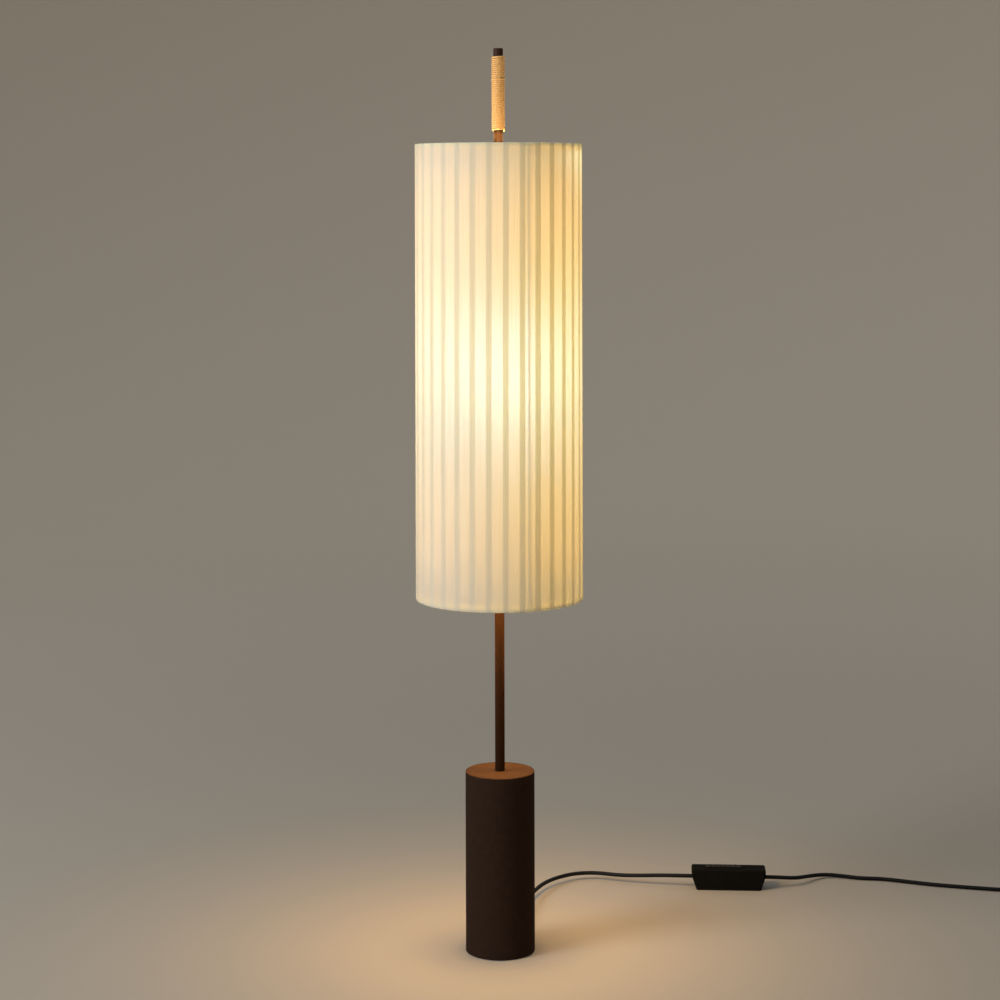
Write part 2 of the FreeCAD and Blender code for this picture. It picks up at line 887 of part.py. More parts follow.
def make_holder():
    bore = dim.nipple_bore / 2
    tube_profile = [
        (bore, nipple_bottom),
        (nipple_r, nipple_bottom),
        (nipple_r, nipple_top),
        (bore, nipple_top),
    ]
    body, _ = turned("holder_nipple", tube_profile)
    place(body, y=holder_y)

    below = bracket_bottom - dim.nipple_nut_height
    nut = hex_nut("nipple_nut", dim.nipple_nut_width, dim.nipple_nut_height, nipple_seat_r, below)
    place(nut, y=holder_y)
    inner_nut = hex_nut(
        "holder_nut", dim.nipple_nut_width, dim.nipple_nut_height, nipple_seat_r, holder_floor_top
    )
    place(inner_nut, y=holder_y)

    outer_r = dim.holder_diameter / 2
    top = bracket_top + dim.holder_height
    cup = [
        (nipple_seat_r, bracket_top),
        (outer_r, bracket_top),
        (outer_r, top),
        (holder_inside_r, top),
        (holder_inside_r, holder_floor_top),
        (nipple_seat_r, holder_floor_top),
    ]
    body, _ = turned("lampholder", cup)
    place(body, y=holder_y)

    well_r = dim.block_bore_diameter / 2
    roof = nipple_top + dim.seat_gap
    block = [
        (well_r, holder_floor_top),
        (block_r, holder_floor_top),
        (block_r, block_top),
        (0, block_top),
        (0, roof),
        (well_r, roof),
    ]
    body, _ = turned("socket_block", block)
    place(body, y=holder_y)

    shell_r = cap_r + dim.running_gap
    shell = [
        (shell_r, block_top),
        (shell_r + dim.socket_wall, block_top),
        (shell_r + dim.socket_wall, block_top + dim.socket_length),
        (shell_r, block_top + dim.socket_length),
    ]
    body, _ = turned("socket_shell", shell)
    place(body, y=holder_y)

    tongue = new_body("socket_contact")
    outline = new_sketch(tongue, "XY_Plane", block_top)
    draw_polygon(outline, rectangle(cap_r / 2, dim.contact_width / 2))
    add_pad(tongue, outline, dim.contact_height)
    place(tongue, y=holder_y)


# Bulb

bulb_centre = cap_top + dim.bulb_centre_rise
glass_r = dim.bulb_diameter / 2


def glass_form(radius, neck, bottom):
    """Ball and tapered neck of the bulb, solid."""
    ball = doc.addObject("Part::Sphere", "ball")
    bind(ball, "Radius", radius)
    place(ball, y=holder_y, z=bulb_centre)
    shoulder_r = Size(
        math.sqrt(radius.value**2 - dim.bulb_shoulder_drop.value**2),
        f"sqrt({radius.text} ^ 2 - {dim.bulb_shoulder_drop.text} ^ 2)",
    )
    taper = doc.addObject("Part::Cone", "neck")
    bind(taper, "Radius1", neck)
    bind(taper, "Radius2", shoulder_r)
    bind(taper, "Height", bulb_centre - dim.bulb_shoulder_drop - bottom)
    place(taper, y=holder_y, z=bottom)
    return fuse("glass_form", [ball, taper])


def make_bulb():
    tip_r = dim.bulb_tip_diameter / 2
    tip_bottom = block_top + dim.contact_height
    body, _ = turned(
        "bulb_contact", [(0, tip_bottom), (tip_r, tip_bottom), (tip_r, cap_bottom), (0, cap_bottom)]
    )
    place(body, y=holder_y)
    body, _ = turned("bulb_cap", [(0, cap_bottom), (cap_r, cap_bottom), (cap_r, cap_top), (0, cap_top)])
    place(body, y=holder_y)

    neck_r = dim.bulb_neck_diameter / 2
    outer = glass_form(glass_r, neck_r, cap_top)
    inner = glass_form(glass_r - dim.bulb_glass_wall, neck_r - dim.bulb_glass_wall, cap_top)
    keep(subtract("bulb_glass", outer, inner), "bulb_glass")

    stem_r = dim.stem_diameter / 2
    disc_r = dim.stem_disc_diameter / 2
    lower = bulb_centre - dim.filament_length / 2
    upper = bulb_centre + dim.filament_length / 2
    profile = [
        (0, cap_top),
        (stem_r, cap_top),
        (stem_r, lower - dim.stem_disc_thickness),
        (disc_r, lower - dim.stem_disc_thickness),
        (disc_r, lower),
        (stem_r, lower),
        (stem_r, upper),
        (disc_r, upper),
        (disc_r, upper + dim.stem_disc_thickness),
        (0, upper + dim.stem_disc_thickness),
    ]
    body, _ = turned("bulb_stem", profile)
    place(body, y=holder_y)

    rod_x = disc_r - dim.filament_diameter
    rod_edge = rod_x + dim.filament_diameter / 2
    rod = [(rod_x, lower), (rod_edge, lower), (rod_edge, upper), (rod_x, upper)]
    body, turn = turned("bulb_filaments", rod, rod_x)
    repeat_round(body, [turn], dim.filament_count)
    place(body, y=holder_y)


# Shade

lap_step = dim.ribbon_thickness + dim.ribbon_gap
ribbon_period = Size(360.0, "360") / dim.ribbon_count
tilt = lap_step / ribbon_period.sin()
half_width_angle = dim.ribbon_width / dim.shade_diameter * (180 / math.pi)
edge_sway = tilt * half_width_angle.sin()
ribbon_r = dim.shade_diameter / 2 - dim.ribbon_thickness - edge_sway
ring_wire_r = dim.ring_wire / 2
ring_r = ribbon_r - edge_sway - dim.seat_gap - ring_wire_r
upright_r = dim.upright_wire / 2
top_ring_level = shade_top - ring_wire_r
bottom_ring_level = shade_bottom + ring_wire_r
hub_r = dim.hub_diameter / 2
hub_bore_r = pole_r + dim.running_gap
upper_hub_bottom = shade_top - dim.hub_inset - dim.hub_height
lower_hub_bottom = shade_bottom + dim.hub_inset


def make_ribbons():
    """Upright strips of ribbon; each one's edge laps over the strip beside it."""
    body = new_body("shade_ribbons")
    sketch = new_sketch(body, "XY_Plane", shade_bottom)
    outer_r = ribbon_r + dim.ribbon_thickness
    turn = math.radians(half_width_angle.value)
    hub = V(0, -tilt.value, 0)
    for radius in (ribbon_r, outer_r):
        round_edge = Part.ArcOfCircle(Part.Circle(hub, V(0, 0, 1), radius.value), -turn, turn)
        index = sketch.addGeometry(round_edge, False)
        pin_point(sketch, index, 3, 0, -tilt)
        constrain(sketch, "Radius", index, radius)
        reach = radius * half_width_angle.sin()
        constrain(sketch, "DistanceY", -1, 1, index, 1, -reach - tilt)
        constrain(sketch, "DistanceY", -1, 1, index, 2, reach - tilt)
    for end in (1, 2):
        start, finish = sketch.getPoint(0, end), sketch.getPoint(1, end)
        index = sketch.addGeometry(Part.LineSegment(start, finish), False)
        constrain(sketch, "Coincident", index, 1, 0, end)
        constrain(sketch, "Coincident", index, 2, 1, end)
    strip = add_pad(body, sketch, dim.shade_height)
    repeat_round(body, [strip], dim.ribbon_count)
    place(body, angle=dim.ribbon_phase)


def make_ring(label, level):
    ring = doc.addObject("Part::Torus", label)
    bind(ring, "Radius1", ring_r)
    bind(ring, "Radius2", ring_wire_r)
    place(ring, z=level)
    keep(ring, label)


def make_uprights():
    """Frame wires that stand between the two rings."""
    body = new_body("shade_uprights")
    sketch = new_sketch(body, "XY_Plane", shade_bottom + dim.ring_wire)
    draw_circle(sketch, upright_r, ring_r, 0)
    wire = add_pad(body, sketch, dim.shade_height - dim.ring_wire * 2)
    repeat_round(body, [wire], dim.arm_count)
    place(body, angle=dim.arm_phase)


def make_spider(label, bottom):
    """Hub that runs on the pole, with arms out to the frame wires."""
    body = new_body(label)
    sketch = new_sketch(body, "XY_Plane", bottom)
    draw_circle(sketch, hub_r)
    add_pad(body, sketch, dim.hub_height)
    level = bottom + dim.hub_height / 2
    arm = new_sketch(body, "YZ_Plane")
    draw_circle(arm, dim.arm_wire / 2, 0, level)
    reach = ring_r - upright_r - dim.seat_gap
    rod = add_pad(body, arm, reach)
    repeat_round(body, [rod], dim.arm_count)
    cut_round(body, "XY_Plane", hub_bore_r, dim.hub_height, rise=bottom, along_normal=True)
    place(body, angle=dim.arm_phase)


def make_stop():
    """Collar on the pole that the upper hub rests on."""
    stop_r = dim.stop_diameter / 2
    bottom = upper_hub_bottom - dim.stop_height
    profile = [
        (pole_seat_r, bottom),
        (stop_r, bottom),
        (stop_r, upper_hub_bottom),
        (pole_seat_r, upper_hub_bottom),
    ]
    body, _ = turned("shade_stop", profile)
    level = bottom + dim.stop_height / 2
    grub_r = dim.grub_diameter / 2 + dim.seat_gap
    cut_round(body, "XZ_Plane", grub_r, dim.stop_diameter, 0, level)
    make_grub("stop_screw", stop_r, level, 0)


# Lead inside the lamp


def make_inner_lead():
    """From the strain relief through the pole to the lampholder."""
    exit_turn = math.radians(dim.exit_angle.value)
    outward = V(math.sin(exit_turn), math.cos(exit_turn), 0)
    up, front = V(0, 0, 1), V(0, -1, 0)
    low = dim.exit_height.value
    foot_bend = dim.inner_bend.value
    top_bend = dim.holder_bend.value
    mouth = outward * (base_r + dim.gland_taper_length).value + up * low
    foot = up * low
    turn_level = lead_turn_level.value
    first = up * (turn_level + top_bend)
    second = first + front * dim.holder_reach.value
    end = second + up * (nipple_top.value - second.z)
    edges = [
        line_edge(mouth, foot + outward * foot_bend),
        bend(foot, -outward, up, foot_bend),
        line_edge(foot + up * foot_bend, first - up * top_bend),
        bend(first, up, front, top_bend),
        line_edge(first + front * top_bend, second - front * top_bend),
        bend(second, front, up, top_bend),
        line_edge(second + up * top_bend, end),
    ]
    tube("inner_lead", edges, dim.lead_diameter.value)


# Free lead, dimmer, coil and plug


def dimmer_point(along, level):
    """A point on the dimmer's long middle line."""
    turn = math.radians(dim.dimmer_turn.value)
    return V(
        dim.dimmer_x.value + along * math.cos(turn),
        dim.dimmer_y.value + along * math.sin(turn),
        level,
    )


lead_end = dim.dimmer_length / 2 - dim.dimmer_lead_depth
coil_pitch = dim.lead_diameter + dim.coil_turn_gap
coil_low = dim.tie_thickness + dim.tie_gap + lead_r
coil_high = coil_low + coil_pitch
coil_centre_y = dim.coil_y - dim.coil_radius
coil_inner_r = dim.coil_radius - coil_pitch * dim.coil_turns_in
coil_outer_r = coil_inner_r + coil_pitch * dim.coil_turns_out
plug_x = dim.coil_x + coil_outer_r
plug_level = dim.plug_thickness / 2
boot_y = coil_centre_y - dim.lead_diameter - dim.plug_tail


def make_lead_to_dimmer():
    exit_turn = math.radians(dim.exit_angle.value)
    outward = V(math.sin(exit_turn), math.cos(exit_turn), 0)
    mouth = outward * (base_r + dim.gland_taper_length).value + V(0, 0, dim.exit_height.value)
    entry = lead_end.value
    level = dim.dimmer_lead_height.value
    points = [mouth, mouth + outward * FIRST_RUN]
    points += [V(*point) for point in ROUTE_TO_DIMMER]
    points += [dimmer_point(-entry - DIMMER_RUN, level), dimmer_point(-entry, level)]
    tube("lead_to_dimmer", rounded("lead_to_dimmer", points), dim.lead_diameter.value)


def make_lead_to_coil():
    entry = lead_end.value
    level = dim.dimmer_lead_height.value
    start = V(dim.coil_x.value - dim.lead_diameter.value, dim.coil_y.value, coil_low.value)
    points = [dimmer_point(entry, level), dimmer_point(entry + DIMMER_RUN, level)]
    points += [V(*point) for point in ROUTE_TO_COIL]
    points += [start - V(FIRST_RUN, 0, 0), start]
    tube("lead_to_coil", rounded("lead_to_coil", points), dim.lead_diameter.value)


def coil_station(turns, radius, drift, level, climb):
    """Place and direction on a coil that winds clockwise from its rear."""
    angle = math.pi / 2 - 2 * math.pi * turns
    outward = V(math.cos(angle), math.sin(angle), 0)
    along = V(math.sin(angle), -math.cos(angle), 0)
    centre = V(dim.coil_x.value, coil_centre_y.value, level)
    way = along * (2 * math.pi * radius) + outward * drift + V(0, 0, climb)
    return centre + outward * radius, unit(way)


def make_coil():
    """Spiral in on the floor, up a layer where it reverses, and out again on top."""
    pitch = coil_pitch.value
    turns_in, turns_out = dim.coil_turns_in.value, dim.coil_turns_out.value
    start_r, inner_r = dim.coil_radius.value, coil_inner_r.value
    low, high = coil_low.value, coil_high.value
    stations = [coil_station(0, start_r, 0, low, 0)]
    for step in range(1, round(turns_in / QUARTER) + 1):
        done = step * QUARTER
        stations.append(coil_station(done, start_r - pitch * done, -pitch, low, 0))
    reverse_r = inner_r - pitch * QUARTER / 2
    steepest = 3 * (high - low)
    stations.append(coil_station(turns_in + QUARTER, reverse_r, 0, (low + high) / 2, steepest))
    begin = turns_in + 2 * QUARTER
    for step in range(round(turns_out / QUARTER)):
        done = step * QUARTER
        stations.append(coil_station(begin + done, inner_r + pitch * done, pitch, high, 0))
    stations.append(coil_station(begin + turns_out, coil_outer_r.value, 0, high, 0))
    diameter = dim.lead_diameter.value
    edges = wound(stations, diameter)
    print(f"lead_coil least gap to itself {self_gap(edges, diameter):.3f}")
    tube("lead_coil", edges, diameter)


def make_tie():
    """Flat strap round all the turns at the front of the coil."""
    turn_r_inner = coil_inner_r + coil_pitch * QUARTER
    turn_r_outer = turn_r_inner + coil_pitch
    curve = dim.tie_width * dim.tie_width / 8 / turn_r_inner
    near = coil_centre_y - turn_r_outer - lead_r - dim.tie_gap
    far = coil_centre_y - turn_r_inner + lead_r + dim.tie_gap + curve
    depth = far - near
    rise = coil_high + lead_r + dim.tie_gap - dim.tie_thickness
    outer = doc.addObject("Part::Box", "strap")
    bind(outer, "Length", dim.tie_width)
    bind(outer, "Width", depth + dim.tie_thickness * 2)
    bind(outer, "Height", rise + dim.tie_thickness * 2)
    place(outer, x=dim.coil_x - dim.tie_width / 2, y=near - dim.tie_thickness)
    inner = doc.addObject("Part::Box", "room")
    bind(inner, "Length", dim.tie_width)
    bind(inner, "Width", depth)
    bind(inner, "Height", rise)
    place(inner, x=dim.coil_x - dim.tie_width / 2, y=near, z=dim.tie_thickness)
    keep(subtract("coil_tie", outer, inner), "coil_tie")


def make_lead_to_plug():
    start = V(plug_x.value, coil_centre_y.value - dim.lead_diameter.value, coil_high.value)
    finish = V(plug_x.value, boot_y.value, plug_level.value)
    run = dim.plug_tail.value / 4
    first = start - V(0, run, 0)
    last = finish + V(0, run, 0)
    half_way = (first + last) / 2 + V(run / 12, 0, 0)
    edges = rounded("lead_to_plug", [start, first, half_way, last, finish])
    tube("lead_to_plug", edges, dim.lead_diameter.value)


def lay_plug(body):
    """Turn a plug piece from its own upright axis to lie on the floor, pins to the front."""
    place(body, x=plug_x, y=boot_y, z=plug_level, axis=V(1, 0, 0), angle=90)


def make_plug():
    boot_profile = [
        (0, 0),
        (dim.boot_start_diameter / 2, 0),
        (dim.boot_end_diameter / 2, dim.boot_length),
        (0, dim.boot_length),
    ]
    boot, _ = turned("plug_boot", boot_profile)
    lay_plug(boot)

    body = new_body("plug_body")
    outline = new_sketch(body, "XZ_Plane")
    back, half = dim.plug_back_width / 2, dim.plug_width / 2
    shoulder = dim.boot_length + dim.plug_taper_length
    front = dim.boot_length + dim.plug_length
    draw_polygon(
        outline,
        [
            (-back, dim.boot_length),
            (back, dim.boot_length),
            (half, shoulder),
            (half, front),
            (-half, front),
            (-half, shoulder),
        ],
    )
    block = add_pad(body, outline, dim.plug_thickness, midplane=True)
    flat = dim.plug_thickness.value / 2 - 1e-6
    on_side = lambda edge: abs(edge.CenterOfMass.y) > flat and edge.CenterOfMass.z < front.value - 1e-6
    dress(body, "Fillet", block, dim.plug_edge, on_side)
    lay_plug(body)

    axis = dim.pin_spacing / 2
    pin_x = axis + dim.pin_diameter / 2
    end = front + dim.pin_length
    profile = [
        (axis, front),
        (pin_x, front),
        (pin_x, end - dim.pin_chamfer),
        (pin_x - dim.pin_chamfer, end),
        (axis, end),
    ]
    pins, turn = turned("plug_pins", profile, axis)
    repeat_round(pins, [turn], 2)
    lay_plug(pins)


# Dimmer


def lay_dimmer(body):
    place(body, x=dim.dimmer_x, y=dim.dimmer_y, angle=dim.dimmer_turn)


dimmer_roof = dim.dimmer_height - dim.dimmer_wall
board_top = dim.board_height + dim.board_thickness
slot_length_half = (dim.slider_stem_length + dim.slider_travel) / 2 + dim.pot_slot_gap
slot_width_half = dim.slider_stem_width / 2 + dim.pot_slot_gap
dimmer_screw_r = dim.dimmer_screw_diameter / 2
dimmer_hole_r = dimmer_screw_r + dim.seat_gap
dimmer_boss_r = dim.dimmer_boss_diameter / 2
dimmer_head_r = dim.dimmer_screw_head_diameter / 2
inside_half_width = dim.dimmer_width / 2 - dim.dimmer_wall


def both_ends(body, draw, rise, length, cut=False):
    """Pad or cut the same round outline at both screw places."""
    sketch = new_sketch(body, "XY_Plane", rise)
    draw_circle(sketch, draw, dim.dimmer_screw_x, 0)
    draw_circle(sketch, draw, -dim.dimmer_screw_x, 0)
    if cut:
        return cut_pocket(body, sketch, length, along_normal=True)
    return add_pad(body, sketch, length)


def make_dimmer_base():
    body = new_body("dimmer_base")
    outline = new_sketch(body, "XZ_Plane")
    foot, half = dim.dimmer_foot_length / 2, dim.dimmer_length / 2
    split = dim.dimmer_split
    draw_polygon(outline, [(-foot, 0), (foot, 0), (half, split), (-half, split)])
    block = add_pad(body, outline, dim.dimmer_width, midplane=True)
    dress(body, "Fillet", block, dim.dimmer_corner, is_upright)
    room = new_sketch(body, "XZ_Plane")
    wall = dim.dimmer_wall
    draw_polygon(
        room, [(wall - foot, wall), (foot - wall, wall), (half - wall, split), (wall - half, split)]
    )
    cut_pocket(body, room, inside_half_width * 2, midplane=True)
    cut_round(
        body, "YZ_Plane", lead_seat_r, dim.dimmer_length, 0, dim.dimmer_lead_height, midplane=True
    )
    both_ends(body, dimmer_boss_r, wall, dim.board_height - wall)
    both_ends(body, dimmer_hole_r, 0, dim.board_height, cut=True)
    both_ends(body, dimmer_head_r + dim.seat_gap, 0, dim.dimmer_screw_head_height, cut=True)
    lay_dimmer(body)


def make_dimmer_cover():
    body = new_body("dimmer_cover")
    outline = new_sketch(body, "XY_Plane", dim.dimmer_split)
    draw_polygon(outline, rectangle(dim.dimmer_length / 2, dim.dimmer_width / 2))
    block = add_pad(body, outline, dim.dimmer_height - dim.dimmer_split)
    block = dress(body, "Fillet", block, dim.dimmer_corner, is_upright)
    dress(body, "Fillet", block, dim.dimmer_edge, at_height(dim.dimmer_height.value))
    room = new_sketch(body, "XY_Plane", dim.dimmer_split)
    draw_polygon(room, rectangle(dim.dimmer_length / 2 - dim.dimmer_wall, inside_half_width))
    cut_pocket(body, room, dimmer_roof - dim.dimmer_split, along_normal=True)
    slot = new_sketch(body, "XY_Plane", dimmer_roof)
    draw_polygon(slot, rectangle(slot_length_half, slot_width_half))
    cut_pocket(body, slot, dim.dimmer_wall, along_normal=True)
    both_ends(body, dimmer_boss_r, board_top, dimmer_roof - board_top)
    both_ends(body, dimmer_hole_r, board_top, (dimmer_roof - board_top) / 2, cut=True)
    lay_dimmer(body)


def make_dimmer_slider():
    """Ridged thumb piece with a stem down through the cover's slot."""
    body = new_body("dimmer_slider")
    rest = dim.slider_offset
    under = dim.dimmer_height + dim.running_gap
    plate = new_sketch(body, "XY_Plane", under)
    draw_polygon(plate, rectangle(dim.slider_length / 2, dim.slider_width / 2, rest))
    add_pad(body, plate, dim.slider_height)
    stem = new_sketch(body, "XY_Plane", under)
    draw_polygon(stem, rectangle(dim.slider_stem_length / 2, dim.slider_stem_width / 2, rest))
    add_pad(body, stem, dim.slider_stem_depth, downwards=True)
    first = rest - dim.ridge_pitch * (dim.ridge_count - 1) / 2
    ridge = new_sketch(body, "XY_Plane", under + dim.slider_height)
    draw_polygon(ridge, rectangle(dim.ridge_width / 2, dim.slider_width / 2, first))
    bar = add_pad(body, ridge, dim.ridge_height)
    repeat_along(body, [bar], dim.ridge_pitch, dim.ridge_count)
    lay_dimmer(body)


def make_dimmer_inside():
    """Circuit board on the bosses, with the slide resistor and the lead's terminals."""
    board = new_body("dimmer_board")
    outline = new_sketch(board, "XY_Plane", dim.board_height)
    draw_polygon(outline, rectangle(dim.board_length / 2, inside_half_width - dim.running_gap))
    add_pad(board, outline, dim.board_thickness)
    both_ends(board, dimmer_hole_r, dim.board_height, dim.board_thickness, cut=True)
    lay_dimmer(board)

    pot = new_body("dimmer_resistor")
    outline = new_sketch(pot, "XY_Plane", board_top)
    draw_polygon(outline, rectangle(dim.pot_length / 2, dim.pot_width / 2))
    add_pad(pot, outline, dim.pot_height)
    groove_bottom = dim.dimmer_height + dim.running_gap - dim.slider_stem_depth - dim.pot_slot_gap
    groove = new_sketch(pot, "XY_Plane", groove_bottom)
    draw_polygon(groove, rectangle(slot_length_half, slot_width_half))
    cut_pocket(pot, groove, dim.pot_height, along_normal=True)
    lay_dimmer(pot)

    blocks = new_body("dimmer_terminals")
    outline = new_sketch(blocks, "XY_Plane", board_top)
    half = dim.terminal_length / 2
    draw_polygon(outline, rectangle(half, dim.terminal_width / 2, lead_end - half))
    block = add_pad(blocks, outline, dim.terminal_height)
    repeat_round(blocks, [block], 2)
    lay_dimmer(blocks)


def make_dimmer_screws():
    axis = dim.dimmer_screw_x
    head_x = axis + dimmer_head_r
    shank_x = axis + dimmer_screw_r
    end = board_top + (dimmer_roof - board_top) / 2
    shoulder = dim.dimmer_screw_head_height
    profile = [(axis, 0), (head_x, 0), (head_x, shoulder), (shank_x, shoulder), (shank_x, end), (axis, end)]
    body, turn = turned("dimmer_screws", profile, axis)
    repeat_round(body, [turn], 2)
    lay_dimmer(body)


make_foot()
make_plate()
make_screws()
make_weight()
make_casing()
make_pole_fixing()
make_gland()
make_pole()
make_cap()
make_winding("grip_winding_lower", grip_bottom.value, dim.grip_lower_length.value)
upper_bottom = grip_bottom + dim.grip_lower_length + dim.grip_join_gap
make_winding("grip_winding_upper", upper_bottom.value, (grip_top - upper_bottom).value)
make_bracket()
make_grub("bracket_screw", dim.collar_diameter / 2, collar_screw_level, 0)
make_holder()
make_bulb()
make_ribbons()
make_ring("shade_top_ring", top_ring_level)
make_ring("shade_bottom_ring", bottom_ring_level)
make_uprights()
make_spider("upper_spider", upper_hub_bottom)
make_spider("lower_spider", lower_hub_bottom)
make_stop()
make_inner_lead()
make_lead_to_dimmer()
make_lead_to_coil()
make_coil()
make_tie()
make_lead_to_plug()
make_plug()
make_dimmer_base()
make_dimmer_cover()
make_dimmer_slider()
make_dimmer_inside()
make_dimmer_screws()
doc.recompute()

# Every object must be sound before anything is written
for thing in doc.Objects:
    if "Invalid" in thing.State or "Error" in thing.State:
        raise RuntimeError(f"{thing.Label} failed: {thing.State}")
for piece in pieces:
    if piece.Shape.isNull() or not piece.Shape.isValid():
        raise RuntimeError(f"{piece.Label} has no valid shape")

os.makedirs("parts", exist_ok=True)
for piece in pieces:
    piece.Shape.exportStep(f"parts/{piece.Label}.step")
print(len(pieces), "sub-parts written")
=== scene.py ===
import math
import random

import bmesh
import bpy
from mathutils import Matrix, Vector


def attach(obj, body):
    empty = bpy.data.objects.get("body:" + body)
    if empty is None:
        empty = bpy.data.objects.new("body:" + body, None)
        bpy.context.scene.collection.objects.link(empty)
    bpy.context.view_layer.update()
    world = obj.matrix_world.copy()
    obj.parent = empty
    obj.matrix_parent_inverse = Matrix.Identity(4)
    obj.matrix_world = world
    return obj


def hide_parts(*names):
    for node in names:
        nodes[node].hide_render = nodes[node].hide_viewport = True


RANDOM_SEED = 7

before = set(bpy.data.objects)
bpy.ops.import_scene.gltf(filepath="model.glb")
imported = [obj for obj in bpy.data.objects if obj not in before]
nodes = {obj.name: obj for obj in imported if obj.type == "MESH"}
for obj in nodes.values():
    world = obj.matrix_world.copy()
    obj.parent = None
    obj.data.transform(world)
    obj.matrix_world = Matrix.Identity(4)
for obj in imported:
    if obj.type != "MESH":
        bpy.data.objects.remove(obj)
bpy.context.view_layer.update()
random.seed(RANDOM_SEED)

# Sizes of the lamp in metres, as in the CAD model
POLE_R = 0.007
BASE_TOP = 0.26
GRIP_BOTTOM = 1.1864
GRIP_TOP = 1.296
SHADE_BOTTOM = 0.511
SHADE_TOP = 1.168
SHADE_R = 0.1215
RING_R = 0.11840
RING_WIRE = 0.003
RIBBON_COUNT = 32
RIBBON_WIDTH = 0.0323
RIBBON_PHASE = math.radians(10.125)
BULB_CENTRE = Vector((0.0, -0.046, 0.810))
LEAD_DIAMETER = 0.006
DIMMER_CENTRE = Vector((0.360, 0.2985, 0.0))
DIMMER_TURN = math.radians(-3.6)
DIMMER_LEAD_END = 0.0495
DIMMER_LEAD_HEIGHT = 0.0175
DIMMER_RUN = 0.024
EXIT_TURN = math.radians(12)
EXIT_HEIGHT = 0.017
GLAND_END = 0.075
FIRST_RUN = 0.022
COIL_X = 0.840
COIL_CENTRE_Y = 0.2305
COIL_RADIUS = 0.0375
COIL_PITCH = 0.0066
COIL_LOW = 0.0039
COIL_TURNS_IN = 1.75
COIL_TURNS_BACK = 0.5
COIL_TURNS_OUT = 2.0
COIL_STEPS = 16
PLUG_TAIL = 0.062
PLUG_RUN = PLUG_TAIL / 4
PLUG_BOW = PLUG_TAIL / 48
PLUG_LEVEL = 0.00685
FOOT_BEND = 0.024
HOLDER_TURN_LEVEL = 0.672
HOLDER_RUN = 0.036
HOLDER_LEAD_TOP = 0.724

# The lead's free stretches, point by point
ROUTE_TO_DIMMER = [
    (0.0300, 0.1406, 0.0155),
    (0.0398, 0.1913, 0.0136),
    (0.0540, 0.2470, 0.0124),
    (0.0704, 0.2885, 0.0118),
    (0.0920, 0.3183, 0.0112),
    (0.1200, 0.3404, 0.0108),
    (0.1540, 0.3442, 0.0106),
    (0.1880, 0.3282, 0.0110),
    (0.2220, 0.3170, 0.0138),
    (0.2520, 0.3096, 0.0164),
]
ROUTE_TO_COIL = [
    (0.4670, 0.3043, 0.0126),
    (0.4940, 0.3332, 0.0080),
    (0.5210, 0.3503, 0.0050),
    (0.5480, 0.3461, 0.0036),
    (0.5750, 0.3352, 0.0031),
    (0.6077, 0.3328, 0.0031),
    (0.6477, 0.3154, 0.0031),
    (0.6875, 0.2988, 0.0031),
    (0.7376, 0.2846, 0.0031),
    (0.7857, 0.2720, 0.0032),
]


# Camera at the photograph's viewpoint

CAMERA_SENSOR = 36
CAMERA_LENS = 83.88
CAMERA_PLACE = (0.0022, -3.3785, 1.100)
CAMERA_ROLL = math.radians(0.15)
CAMERA_SHIFT_Y = -0.309


def make_camera():
    data = bpy.data.cameras.new("camera")
    data.sensor_width = CAMERA_SENSOR
    data.lens = CAMERA_LENS
    data.shift_y = CAMERA_SHIFT_Y
    camera = bpy.data.objects.new("camera", data)
    camera.location = CAMERA_PLACE
    camera.rotation_euler = (math.pi / 2, CAMERA_ROLL, 0)
    bpy.context.collection.objects.link(camera)
    bpy.context.scene.camera = camera


# Curves and colours that several pieces share


def eased(share):
    """From 0 to 1 without a corner at either end."""
    share = min(max(share, 0.0), 1.0)
    return share * share * (3 - 2 * share)


def fuller(value, power):
    """A sine or cosine raised so that it draws a rounded square in place of a circle."""
    return math.copysign(abs(value) ** power, value)


def shade_of(color, factor):
    return tuple(channel * factor for channel in color)


def blend(first, last, share):
    """A colour on the way from one to another."""
    return tuple(start + (end - start) * share for start, end in zip(first, last))


# Materials

# Most of a noise's values lie between these two
NOISE_LOW = 0.3
NOISE_HIGH = 0.7
NOISE_ROUGHNESS = 0.55
GRAINS_PER_MOTTLE = 12
MOTTLE_DETAIL = 4
GRAIN_DETAIL = 2
GRAIN_STRENGTH = 0.35


def new_material(name, color, roughness, **sockets):
    """A material, its node tree and its shader; the shader's other sockets are set by name."""
    material = bpy.data.materials.new(name)
    material.use_nodes = True
    shader = material.node_tree.nodes["Principled BSDF"]
    shader.inputs["Base Color"].default_value = (*color, 1)
    shader.inputs["Roughness"].default_value = roughness
    for socket, value in sockets.items():
        shader.inputs[socket.replace("_", " ")].default_value = value
    return material, material.node_tree, shader


def add_node(tree, kind, links=(), **values):
    """Add a node, set its input sockets by name and link others."""
    made = tree.nodes.new(kind)
    for name, value in values.items():
        made.inputs[name.replace("_", " ")].default_value = value
    for source, name in links:
        tree.links.new(source, made.inputs[name])
    return made


def noise(tree, place, scale, detail):
    made = add_node(tree, "ShaderNodeTexNoise", [(place, "Vector")], Scale=scale, Detail=detail,
                    Roughness=NOISE_ROUGHNESS)
    return made.outputs["Fac"]


def wave(tree, place, scale, direction, **values):
    """Bands that follow each other in a direction."""
    made = add_node(tree, "ShaderNodeTexWave", [(place, "Vector")], Scale=scale, **values)
    made.bands_direction = direction
    return made.outputs["Fac"]


def stretched(tree, place, scale):
    """Coordinates scaled by three factors, for streaks."""
    return add_node(tree, "ShaderNodeMapping", [(place, "Vector")], Scale=scale).outputs["Vector"]


